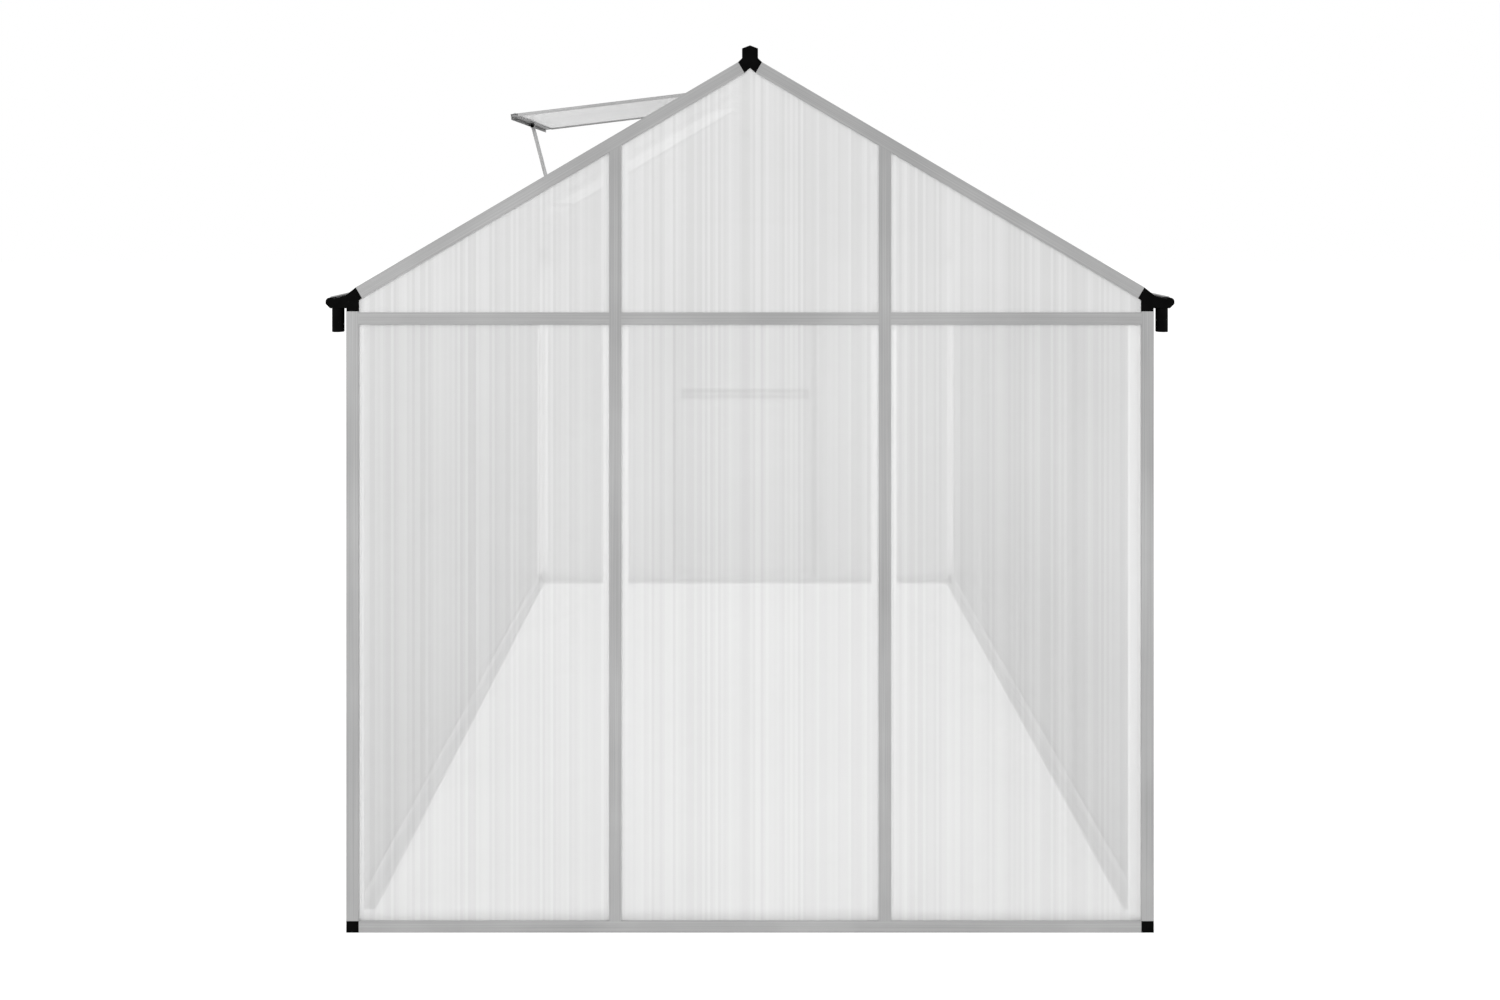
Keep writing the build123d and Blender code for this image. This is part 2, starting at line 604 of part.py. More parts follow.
# Roof bars, notched over the eaves beam's seat and butted against the ridge lips
bar_start = -SEAT_OUT
bar_end = SLOPE - (RIDGE_LIP + SLOT_WALL * SIN) / COS - BUTT_PLAY
for name, slope in SLOPES.items():
    with BuildPart() as roof_bars:
        for place in BAR_PLACES:
            with BuildSketch(upright(slope, place, bar_start)):
                add(bar_section())
            extrude(amount=bar_end - bar_start)
        with BuildSketch(upright(slope, 0, bar_start)):
            plate(0, BACK - BUTT_PLAY, LENGTH, BAR_DEPTH)
        extrude(amount=SEAT_IN / COS - bar_start, mode=Mode.SUBTRACT)
    roof_bars.part.label = f"{name}_roof_bars"
    export_step(roof_bars.part, f"parts/{name}_roof_bars.step")

# The bar across the vent's bay, with an upstand against rain
bar_edges = [0.0, *BAR_PLACES, LENGTH]
vent_left = bar_edges[VENT_BAY] + FACE / 2
vent_right = bar_edges[VENT_BAY + 1] - FACE / 2
with BuildPart() as vent_sill:
    with BuildSketch(level(LEFT_SLOPE, vent_left, SILL)):
        add(transom_section())
        plate(-SILL_UPSTAND, FACE / 2 - PLATE, LIP, FACE / 2)
    extrude(amount=vent_right - vent_left)
vent_sill.part.label = "vent_sill"
export_step(vent_sill.part, "parts/vent_sill.step")

# The propped vent is a small slope of its own, from its free edge up to its hinge line
lean_cos = cos(radians(VENT_LEAN))
lean_sin = sin(radians(VENT_LEAN))
hinge = Vector(-VENT_HINGE_OUT, 0, APEX - VENT_HINGE_DROP)
free_edge = hinge - Vector(lean_cos, 0, lean_sin) * VENT_LENGTH
vent_start = vent_left + VENT_SIDE_PLAY
vent_width = vent_right - vent_left - 2 * VENT_SIDE_PLAY
VENT = Plane(
    origin=(free_edge.X, FRONT_Y - vent_start, free_edge.Z),
    x_dir=(0, -1, 0),
    z_dir=(lean_cos, 0, lean_sin),
)
flange_near = PLATE + SLOT

with BuildPart() as vent_side_bars:
    for start, side in ((0, 1), (vent_width, -1)):
        with BuildSketch(upright(VENT, start, VENT_LIP + BUTT_PLAY)):
            plate(0, 0, side * VENT_LIP, PLATE)
            plate(0, 0, side * PLATE, VENT_DEPTH)
            plate(0, flange_near, side * VENT_FLANGE, flange_near + PLATE)
        extrude(amount=VENT_LENGTH - VENT_TOP_END - VENT_LIP - 2 * BUTT_PLAY)
vent_side_bars.part.label = "vent_side_bars"
export_step(vent_side_bars.part, "parts/vent_side_bars.step")

with BuildPart() as vent_edge_bar:
    with BuildSketch(level(VENT, 0)):
        plate(0, 0, PLATE, VENT_LIP)
        plate(0, 0, VENT_EDGE_DEPTH, PLATE)
        plate(flange_near, 0, flange_near + PLATE, VENT_LIP)
    extrude(amount=vent_width)
vent_edge_bar.part.label = "vent_edge_bar"
export_step(vent_edge_bar.part, "parts/vent_edge_bar.step")

# The vent's top bar ends in a bead that hangs in the ridge beam's hook
with BuildPart() as vent_hinge_bar:
    with BuildSketch(level(VENT, 0, VENT_LENGTH)):
        plate(0, -VENT_TOP_END, PLATE, 0)
        plate(flange_near, -VENT_TOP_END, flange_near + PLATE, -VENT_TOP_START)
        plate(0, -VENT_TOP_START - PLATE, flange_near + PLATE, -VENT_TOP_START)
    extrude(amount=vent_width)
    bead_radius = (HOOK_REACH - PLATE - RIDGE_HALF) / 2 - BUTT_PLAY
    bead_x = (HOOK_REACH - PLATE + RIDGE_HALF) / 2
    bead_y = HOOK_TOP - PLATE - BUTT_PLAY - bead_radius
    with BuildSketch(RIDGE.offset(LENGTH - vent_start)):
        with Locations((bead_x, bead_y)):
            Circle(bead_radius)
        Polygon(
            (bead_x - PLATE / 2, bead_y),
            (bead_x + PLATE / 2, bead_y),
            (bead_x + PLATE / 2, -PLATE),
            (VENT_HINGE_OUT + PLATE, -VENT_HINGE_DROP),
            (VENT_HINGE_OUT + PLATE, -VENT_HINGE_DROP - PLATE),
            (bead_x - PLATE / 2, -2 * PLATE),
            align=None,
        )
    extrude(amount=-vent_width)
vent_hinge_bar.part.label = "vent_hinge_bar"
export_step(vent_hinge_bar.part, "parts/vent_hinge_bar.step")

with BuildPart() as vent_sheet:
    with BuildSketch(elevation(VENT, PLATE + SHEET_PLAY + SHEET)):
        inset = PLATE + EDGE_PLAY
        plate(inset, inset, vent_width - inset, VENT_LENGTH - VENT_TOP_START - inset)
    extrude(amount=SHEET)
vent_sheet.part.label = "vent_sheet"
export_step(vent_sheet.part, "parts/vent_sheet.step")

# Stay: a flat bar between a pin inside the vent's free edge and a pin above the sill
vent_middle = vent_width / 2
pin_head = VENT.from_local_coords((vent_middle, BRACKET_PIN, STAY_SET_IN))
pin_foot = LEFT_SLOPE.from_local_coords((vent_start + vent_middle, -BRACKET_PIN, SILL))
stay_run = pin_foot - pin_head
STAY = Plane(origin=pin_head, x_dir=stay_run, z_dir=(0, -1, 0))
with BuildPart() as vent_stay:
    with BuildSketch(STAY.offset(-STAY_THICKNESS / 2)):
        with Locations((stay_run.length / 2, 0)):
            SlotOverall(stay_run.length + STAY_WIDTH, STAY_WIDTH)
        with Locations((0, 0), (stay_run.length, 0)):
            Circle(STAY_PIN + STAY_PIN_PLAY, mode=Mode.SUBTRACT)
    extrude(amount=STAY_THICKNESS)
vent_stay.part.label = "vent_stay"
export_step(vent_stay.part, "parts/vent_stay.step")

# Brackets: a cheek behind each end of the stay, with the pin that passes through it
cheek = STAY_THICKNESS / 2 + STANDING_PLAY
cheek_near = flange_near + PLATE
cheek_far = BRACKET_PIN + BRACKET_EDGE
with BuildPart() as stay_brackets:
    with BuildSketch(level(VENT, vent_middle - cheek)):
        plate(cheek_near, PLATE, cheek_far, STAY_SET_IN + BRACKET_EDGE)
    extrude(amount=-BRACKET_THICKNESS)
    with BuildSketch(level(VENT, vent_middle - cheek)):
        with Locations((BRACKET_PIN, STAY_SET_IN)):
            Circle(STAY_PIN)
    extrude(amount=2 * cheek)
    with BuildSketch(level(LEFT_SLOPE, vent_start + vent_middle - cheek, SILL)):
        plate(-BRACKET_PIN - BRACKET_EDGE, -FACE / 4, 0, FACE / 4)
    extrude(amount=-BRACKET_THICKNESS)
    with BuildSketch(level(LEFT_SLOPE, vent_start + vent_middle - cheek, SILL)):
        with Locations((-BRACKET_PIN, 0)):
            Circle(STAY_PIN)
    extrude(amount=2 * cheek)
stay_brackets.part.label = "stay_brackets"
export_step(stay_brackets.part, "parts/stay_brackets.step")

# Lower gable sheets, standing on the base rails' shelves
sheet_foot = SHELF + STANDING_PLAY
transom_under = TRANSOM_HEIGHT - SHEET_EDGE
transom_over = TRANSOM_HEIGHT + SHEET_EDGE
left_column = (CORNER_EDGE, MULLION_PLACES[0] - SHEET_EDGE)
middle_column = (MULLION_PLACES[0] + SHEET_EDGE, MULLION_PLACES[1] - SHEET_EDGE)
right_column = (MULLION_PLACES[1] + SHEET_EDGE, WIDTH - CORNER_EDGE)
for name, wall, columns in (
    ("rear", REAR, (left_column, middle_column, right_column)),
    ("front", FRONT, (left_column, right_column)),
):
    with BuildPart() as lower_sheets:
        with BuildSketch(elevation(wall, SHEET_BACK)):
            for start, end in columns:
                plate(start, sheet_foot, end, transom_under)
        extrude(amount=SHEET)
    lower_sheets.part.label = f"{name}_lower_sheets"
    export_step(lower_sheets.part, f"parts/{name}_lower_sheets.step")

# Upper gable sheets, cut to the rafters and round the moulded connectors
outer_outline = [
    (CORNER + BUTT_PLAY, transom_over),
    (CORNER + BUTT_PLAY, EAVES - CAP_INNER - BUTT_PLAY),
    (EAVES_CUT_FOOT[0] + BUTT_PLAY, EAVES + EAVES_CUT_FOOT[1] - BUTT_PLAY),
    (EAVES_CUT_FOOT[0] + BUTT_PLAY, EAVES + under_roof(EAVES_CUT_FOOT[0] + BUTT_PLAY, CORNER_EDGE)),
    (left_column[1], EAVES + under_roof(left_column[1], CORNER_EDGE)),
    (left_column[1], transom_over),
]
peak = APEX + RIDGE_CUT_FOOT[1] - BUTT_PLAY
peak_start = (peak - EAVES + CORNER_EDGE / COS) / TAN
for name, wall, middle_foot in (
    ("rear", REAR, transom_over),
    ("front", FRONT, TRACK_FOOT + SHEET_EDGE),
):
    middle_half = [
        (middle_column[0], middle_foot),
        (middle_column[0], EAVES + under_roof(middle_column[0], CORNER_EDGE)),
        (peak_start, peak),
        (WIDTH / 2 - RIDGE_CUT_FOOT[0], peak),
    ]
    notch = (WIDTH / 2, APEX - RIDGE_CAP_NOTCH - BUTT_PLAY)
    with BuildPart() as upper_sheets:
        with BuildSketch(elevation(wall, SHEET_BACK)):
            Polygon(*outer_outline, align=None)
            Polygon(*[(WIDTH - x, y) for x, y in outer_outline], align=None)
            other_half = [(WIDTH - x, y) for x, y in reversed(middle_half)]
            Polygon(*middle_half, notch, *other_half, align=None)
        extrude(amount=SHEET)
    upper_sheets.part.label = f"{name}_upper_sheets"
    export_step(upper_sheets.part, f"parts/{name}_upper_sheets.step")

# Side sheets between the studs
side_columns = []
for number in range(SIDE_BAYS):
    start = BAR_PLACES[number - 1] + SHEET_EDGE if number else CORNER_EDGE
    end = BAR_PLACES[number] - SHEET_EDGE if number < SIDE_BAYS - 1 else LENGTH - CORNER_EDGE
    side_columns.append((start, end))
for name, wall in SIDES.items():
    with BuildPart() as wall_sheets:
        with BuildSketch(elevation(wall, SHEET_BACK)):
            for start, end in side_columns:
                plate(start, sheet_foot, end, EAVES - BEAM_STOP - LIP - EDGE_PLAY)
        extrude(amount=SHEET)
    wall_sheets.part.label = f"{name}_wall_sheets"
    export_step(wall_sheets.part, f"parts/{name}_wall_sheets.step")

# Roof sheets, from over the gutter to the ridge, cut back at the moulded connectors
roof_top = SLOPE - (RIDGE_HALF + EDGE_PLAY + SHEET_BACK * SIN) / COS
roof_foot = -SEAT_OUT - EDGE_PLAY
for name, slope in SLOPES.items():
    with BuildPart() as roof_sheets:
        with BuildSketch(elevation(slope, SHEET_BACK)):
            for number, (start, end) in enumerate(side_columns):
                vented = name == "left" and number == VENT_BAY
                plate(start, roof_foot, end, SILL - SHEET_EDGE if vented else roof_top)
            for cell in (0, LENGTH - CORNER - BUTT_PLAY):
                for foot, head in ((roof_foot, RAFTER_START + BUTT_PLAY), (RAFTER_END - BUTT_PLAY, roof_top)):
                    with Locations((cell + (CORNER + BUTT_PLAY) / 2, (foot + head) / 2)):
                        Rectangle(CORNER + BUTT_PLAY, head - foot, mode=Mode.SUBTRACT)
        extrude(amount=SHEET)
    roof_sheets.part.label = f"{name}_roof_sheets"
    export_step(roof_sheets.part, f"parts/{name}_roof_sheets.step")

# The closed sliding door stands outside the front gable
DOOR = Plane(
    origin=FRONT.from_local_coords((0, -DOOR_GAP - DOOR_DEPTH, 0)),
    x_dir=FRONT.x_dir,
    z_dir=FRONT.z_dir,
)
door_start = (WIDTH - DOOR_WIDTH) / 2
door_end = door_start + DOOR_WIDTH

with BuildPart() as door_stiles:
    for place, side in ((door_start + DOOR_TUBE / 2, 1), (door_end - DOOR_TUBE / 2, -1)):
        with BuildSketch(upright(DOOR, place, DOOR_FOOT)):
            add(door_bar_section(slots=(side,)))
        extrude(amount=DOOR_TOP - DOOR_FOOT)
door_stiles.part.label = "door_stiles"
export_step(door_stiles.part, "parts/door_stiles.step")

with BuildPart() as door_rails:
    for height, slots in (
        (DOOR_FOOT + DOOR_TUBE / 2, (1,)),
        (DOOR_MIDDLE, (-1, 1)),
        (DOOR_TOP - DOOR_TUBE / 2, (-1,)),
    ):
        with BuildSketch(level(DOOR, door_start + DOOR_TUBE, height)):
            add(door_bar_section(slots=slots, level_bar=True))
        extrude(amount=DOOR_WIDTH - 2 * DOOR_TUBE)
    add(door_stiles.part, mode=Mode.SUBTRACT)
door_rails.part.label = "door_rails"
export_step(door_rails.part, "parts/door_rails.step")

with BuildPart() as door_sheets:
    inset = DOOR_TUBE + EDGE_PLAY
    middle_inset = DOOR_TUBE / 2 + EDGE_PLAY
    with BuildSketch(elevation(DOOR, (DOOR_DEPTH + SHEET) / 2)):
        plate(door_start + inset, DOOR_FOOT + inset, door_end - inset, DOOR_MIDDLE - middle_inset)
        plate(door_start + inset, DOOR_MIDDLE + middle_inset, door_end - inset, DOOR_TOP - inset)
    extrude(amount=SHEET)
door_sheets.part.label = "door_sheets"
export_step(door_sheets.part, "parts/door_sheets.step")

# Track over the doorway, long enough for the door to slide clear, and the guide at its foot
track_length = door_end + TRACK_OVERRUN - TRACK_START
with BuildPart() as door_track:
    with BuildSketch(level(FRONT, TRACK_START, TRACK_FOOT)):
        shelf = (TRACK_DEPTH - TRACK_SLOT) / 2
        plate(-LIP, 0, 0, TRACK_HEIGHT)
        plate(-TRACK_DEPTH, TRACK_HEIGHT - PLATE, 0, TRACK_HEIGHT)
        plate(-TRACK_DEPTH, TRACK_SHELF, PLATE - TRACK_DEPTH, TRACK_HEIGHT)
        plate(-TRACK_DEPTH, TRACK_SHELF, shelf - TRACK_DEPTH, TRACK_SHELF + PLATE)
        plate(-shelf, TRACK_SHELF, 0, TRACK_SHELF + PLATE)
    extrude(amount=track_length)
door_track.part.label = "door_track"
export_step(door_track.part, "parts/door_track.step")

with BuildPart() as door_guide:
    with BuildSketch(level(FRONT, TRACK_START)):
        plate(-LIP, GUIDE_FOOT, 0, GUIDE_BACK)
        plate(-GUIDE_DEPTH, GUIDE_FOOT, 0, GUIDE_FOOT + PLATE)
        plate(-GUIDE_DEPTH, GUIDE_FOOT, PLATE - GUIDE_DEPTH, GUIDE_FRONT)
    extrude(amount=track_length)
door_guide.part.label = "door_guide"
export_step(door_guide.part, "parts/door_guide.step")

# Rollers: a hanger that stands on the door's top bar, with a wheel on each side of the track's slot
hanger_depth = -DOOR_GAP - DOOR_DEPTH / 2
axle_height = TRACK_FOOT + TRACK_SHELF + PLATE + STANDING_PLAY + ROLLER / 2
with BuildPart() as door_rollers:
    for place in (door_start + ROLLER_INSET, door_end - ROLLER_INSET):
        with BuildSketch(upright(FRONT, place, DOOR_TOP)):
            plate(-HANGER_WIDTH / 2, hanger_depth - ROLLER_WIDTH, HANGER_WIDTH / 2, hanger_depth + ROLLER_WIDTH)
        extrude(amount=HANGER)
        with BuildSketch(elevation(FRONT, hanger_depth + HANGER / 2 + ROLLER_WIDTH)):
            with Locations((place, axle_height)):
                Circle(ROLLER / 2)
        extrude(amount=2 * ROLLER_WIDTH + HANGER)
        with BuildSketch(elevation(FRONT, hanger_depth + HANGER / 2)):
            with Locations((place, axle_height)):
                Circle(ROLLER / 2)
                Circle(ROLLER / 4, mode=Mode.SUBTRACT)
        extrude(amount=HANGER, mode=Mode.SUBTRACT)
        with BuildSketch(upright(FRONT, place, DOOR_TOP)):
            plate(-ROLLER / 4, hanger_depth - HANGER / 2, ROLLER / 4, hanger_depth + HANGER / 2)
        extrude(amount=axle_height - DOOR_TOP)
door_rollers.part.label = "door_rollers"
export_step(door_rollers.part, "parts/door_rollers.step")

# Handle: a bent rod on the stile that leads when the door is closed
HANDLE = Plane(
    origin=DOOR.from_local_coords((door_end - DOOR_TUBE / 2, 0, HANDLE_HEIGHT)),
    x_dir=DOOR.z_dir,
    z_dir=DOOR.x_dir,
)
with BuildPart() as door_handle:
    half = (HANDLE_LENGTH - HANDLE_ROD) / 2
    out = HANDLE_REACH - HANDLE_ROD / 2
    with BuildLine(HANDLE) as handle_path:
        FilletPolyline((-half, 0), (-half, out), (half, out), (half, 0), radius=HANDLE_BEND)
    with BuildSketch(Plane(origin=handle_path.line @ 0, z_dir=handle_path.line % 0)):
        Circle(HANDLE_ROD / 2)
    sweep(path=handle_path.line)
door_handle.part.label = "door_handle"
export_step(door_handle.part, "parts/door_handle.step")
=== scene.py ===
"""Looks of a polycarbonate greenhouse: aluminium bars, twin-wall sheets and black mouldings.

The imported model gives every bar, moulding and sheet its place. This script dresses those pieces,
adds the ribs inside the twin-wall sheets and the small hardware, and sets up a plain studio.
Lengths are in metres unless a name ends in _mm.
"""

import logging
import math
from dataclasses import dataclass, field
from enum import Enum

import bpy
from mathutils import Matrix, Vector


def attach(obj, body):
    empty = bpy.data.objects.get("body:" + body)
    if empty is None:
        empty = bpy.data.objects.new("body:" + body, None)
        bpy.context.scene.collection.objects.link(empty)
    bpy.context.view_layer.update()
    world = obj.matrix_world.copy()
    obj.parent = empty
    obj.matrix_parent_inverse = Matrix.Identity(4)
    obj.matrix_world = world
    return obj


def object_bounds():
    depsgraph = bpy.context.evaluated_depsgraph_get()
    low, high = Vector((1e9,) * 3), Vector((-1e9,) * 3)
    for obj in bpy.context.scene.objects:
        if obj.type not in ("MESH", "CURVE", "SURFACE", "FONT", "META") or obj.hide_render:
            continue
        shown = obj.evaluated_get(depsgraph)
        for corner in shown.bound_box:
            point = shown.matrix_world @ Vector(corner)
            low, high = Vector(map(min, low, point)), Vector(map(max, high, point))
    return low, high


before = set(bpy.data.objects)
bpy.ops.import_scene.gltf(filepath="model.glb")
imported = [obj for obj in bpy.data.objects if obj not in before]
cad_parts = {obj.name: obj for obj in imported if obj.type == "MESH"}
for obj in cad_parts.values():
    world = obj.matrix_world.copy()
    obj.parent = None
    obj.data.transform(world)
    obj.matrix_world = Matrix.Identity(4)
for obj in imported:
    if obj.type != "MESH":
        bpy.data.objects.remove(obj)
cad_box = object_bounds()

log = logging.getLogger("greenhouse")

MM = 0.001
WIDTH = 1.820
LENGTH = 2.520
EAVES = 1.442
REAR_Y = -1.283
FRONT_Y = REAR_Y + LENGTH
MIDDLE_Y = REAR_Y + LENGTH / 2
PITCH = math.radians(30.5)
SIN = math.sin(PITCH)
COS = math.cos(PITCH)
APEX = EAVES + WIDTH / 2 * math.tan(PITCH)
LEAN = math.radians(6.9)
LEAN_SIN = math.sin(LEAN)
LEAN_COS = math.cos(LEAN)
HINGE_OUT = 0.0195
HINGE_DROP = 0.006
VENT_HINGE = Vector((-HINGE_OUT, 0.0, APEX - HINGE_DROP))
VENT_LENGTH = 0.650
DOOR_OUT = 0.021
FLUTE_PITCH_MM = 6.0
POLYCARBONATE_IOR = 1.58
# Where two faces of a fastener meet at more than this, their edge stays sharp
SHARP_ANGLE = math.radians(35)


@dataclass(frozen=True)
class Face:
    """The outer plane of a wall, slope, vent or door, seen from outside."""

    origin: Vector
    along: Vector
    up: Vector

    @property
    def inward(self) -> Vector:
        """The way into the building."""
        return self.up.cross(self.along)

    def at(self, along: float, depth: float, up: float) -> Vector:
        """Gives the point at these distances along the face, behind it and up it."""
        return self.origin + self.along * along + self.inward * depth + self.up * up

    def turned(self, along: float, depth: float, up: float, outwards: bool = True) -> Matrix:
        """Gives the place of a fastener that stands on the face.

        Args:
            along: Distance along the face.
            depth: Distance behind it.
            up: Distance up it.
            outwards: Whether the fastener's head points out of the building.

        Returns:
            A matrix whose z axis is the fastener's own axis.
        """
        axis = -self.inward if outwards else self.inward
        side = self.up.cross(axis)
        place = self.at(along, depth, up)
        rows = [(side[row], self.up[row], axis[row], place[row]) for row in range(3)]
        return Matrix((*rows, (0.0, 0.0, 0.0, 1.0)))


X_WAY = Vector((1.0, 0.0, 0.0))
Y_WAY = Vector((0.0, 1.0, 0.0))
Z_WAY = Vector((0.0, 0.0, 1.0))
REAR = Face(Vector((-WIDTH / 2, REAR_Y, 0.0)), X_WAY, Z_WAY)
RIGHT = Face(Vector((WIDTH / 2, REAR_Y, 0.0)), Y_WAY, Z_WAY)
FRONT = Face(Vector((WIDTH / 2, FRONT_Y, 0.0)), -X_WAY, Z_WAY)
LEFT = Face(Vector((-WIDTH / 2, FRONT_Y, 0.0)), -Y_WAY, Z_WAY)
RIGHT_SLOPE = Face(Vector((WIDTH / 2, REAR_Y, EAVES)), Y_WAY, Vector((-COS, 0.0, SIN)))
LEFT_SLOPE = Face(Vector((-WIDTH / 2, FRONT_Y, EAVES)), -Y_WAY, Vector((COS, 0.0, SIN)))
DOOR = Face(Vector((WIDTH / 2, FRONT_Y + DOOR_OUT, 0.0)), -X_WAY, Z_WAY)


class Run(Enum):
    """The way a bar was drawn through its die, folded into the right and front quarter."""

    X = (1.0, 0.0, 0.0)
    Y = (0.0, 1.0, 0.0)
    Z = (0.0, 0.0, 1.0)
    SLOPE = (-COS, 0.0, SIN)
    VENT = (-LEAN_COS, 0.0, LEAN_SIN)


class Skin(Enum):
    """The plane a piece lies in, as its outward normal and its distance, folded like Run."""

    GABLE = ((0.0, 1.0, 0.0), LENGTH / 2)
    SIDE = ((1.0, 0.0, 0.0), WIDTH / 2)
    SLOPE = ((SIN, 0.0, COS), APEX * COS)
    VENT = ((LEAN_SIN, 0.0, LEAN_COS), VENT_HINGE.z * LEAN_COS - VENT_HINGE.x * LEAN_SIN)
    DOOR = ((0.0, 1.0, 0.0), LENGTH / 2 + DOOR_OUT)


class Cover(Enum):
    """The planes behind which a bar's skin gets painted light, standing in for the light that
    comes through the sheets, and how deep that starts in mm.
    """

    FRAME = ((Skin.GABLE, Skin.SIDE, Skin.SLOPE), 2.0)
    DOOR = ((Skin.DOOR,), 13.0)
    OPEN = ((), 0.0)


class Outline(Enum):
    """The shape of one ring of a turned or pressed fastener."""

    ROUND = 0
    HEXAGON = 6


def linear(hex_colour: str) -> tuple[float, float, float, float]:
    """Turns an sRGB hex colour into linear RGBA.

    Args:
        hex_colour: Six hexadecimal digits after a hash sign.

    Returns:
        The linear red, green and blue, with an alpha of 1.
    """
    channels = [int(hex_colour[start : start + 2], 16) / 255 for start in (1, 3, 5)]
    red, green, blue = (
        value / 12.92 if value <= 0.04045 else ((value + 0.055) / 1.055) ** 2.4
        for value in channels
    )
    return (red, green, blue, 1.0)


def add_node(
    tree: bpy.types.NodeTree,
    kind: str,
    settings: dict | None = None,
    inputs: dict | None = None,
) -> bpy.types.Node:
    """Adds one shader node.

    Args:
        tree: The node tree that gets it.
        kind: Blender's name for the node type, without the leading ShaderNode.
        settings: The node's own properties.
        inputs: For each input, by name or place, a plain value or the output socket to link.

    Returns:
        The new node.
    """
    node = tree.nodes.new(f"ShaderNode{kind}")
    for name, value in (settings or {}).items():
        setattr(node, name, value)
    for name, value in (inputs or {}).items():
        if isinstance(value, bpy.types.NodeSocket):
            tree.links.new(value, node.inputs[name])
        else:
            node.inputs[name].default_value = value
    return node


class Finish:
    """What a piece is made of: a name, and the shader that shows it."""

    name: str

    def surface(self, tree: bpy.types.NodeTree) -> bpy.types.NodeSocket:
        """Adds the finish's shader nodes and gives the last one's output."""
        raise NotImplementedError

    def material(self) -> bpy.types.Material:
        """Makes the material, once for each name.

        Returns:
            The material.
        """
        if self.name in bpy.data.materials:
            return bpy.data.materials[self.name]
        material = bpy.data.materials.new(self.name)
        material.use_nodes = True
        tree = material.node_tree
        tree.nodes.clear()
        add_node(tree, "OutputMaterial", inputs={0: self.surface(tree)})
        return material


def mirrored_place(tree: bpy.types.NodeTree) -> bpy.types.NodeSocket:
    """Gives each point's place as if it lay in the right half and the front half of the building.

    Args:
        tree: The node tree that gets the nodes.

    Returns:
        The output socket of the mirrored place.
    """
    place = add_node(tree, "TexCoord").outputs["Object"]
    moved = add_node(
        tree, "VectorMath", {"operation": "SUBTRACT"}, {0: place, 1: (0.0, MIDDLE_Y, 0.0)}
    )
    folded = add_node(tree, "VectorMath", {"operation": "ABSOLUTE"}, {0: moved.outputs[0]})
    return folded.outputs[0]


def depth_behind(
    tree: bpy.types.NodeTree,
    place: bpy.types.NodeSocket,
    skin: Skin,
) -> bpy.types.NodeSocket:
    """Gives how far each point lies behind a plane.

    Args:
        tree: The node tree that gets the nodes.
        place: The mirrored place.
        skin: The plane.

    Returns:
        The output socket of the depth.
    """
    normal, reach = skin.value
    height = add_node(tree, "VectorMath", {"operation": "DOT_PRODUCT"}, {0: place, 1: normal})
    return add_node(
        tree, "Math", {"operation": "SUBTRACT"}, {0: reach, 1: height.outputs["Value"]}
    ).outputs[0]


def set_stops(node: bpy.types.Node, stops: dict[float, str]) -> bpy.types.NodeSocket:
    """Sets a colour ramp's stops.

    Args:
        node: The colour ramp node.
        stops: The hex colour at each position.

    Returns:
        The ramp's colour output.
    """
    ramp = node.color_ramp
    places = sorted(stops)
    ramp.elements[0].position = places[0]
    ramp.elements[0].color = linear(stops[places[0]])
    ramp.elements[1].position = places[-1]
    ramp.elements[1].color = linear(stops[places[-1]])
    for place in places[1:-1]:
        ramp.elements.new(place).color = linear(stops[place])
    return node.outputs[0]


# Dimmer painted light on the inner skin of bars that the lit gable's light doesn't reach, dimmest
# on the door
SHADED_SKIN = "#D2D2D2"
SHADED_DOOR_SKIN = "#C4C4C4"


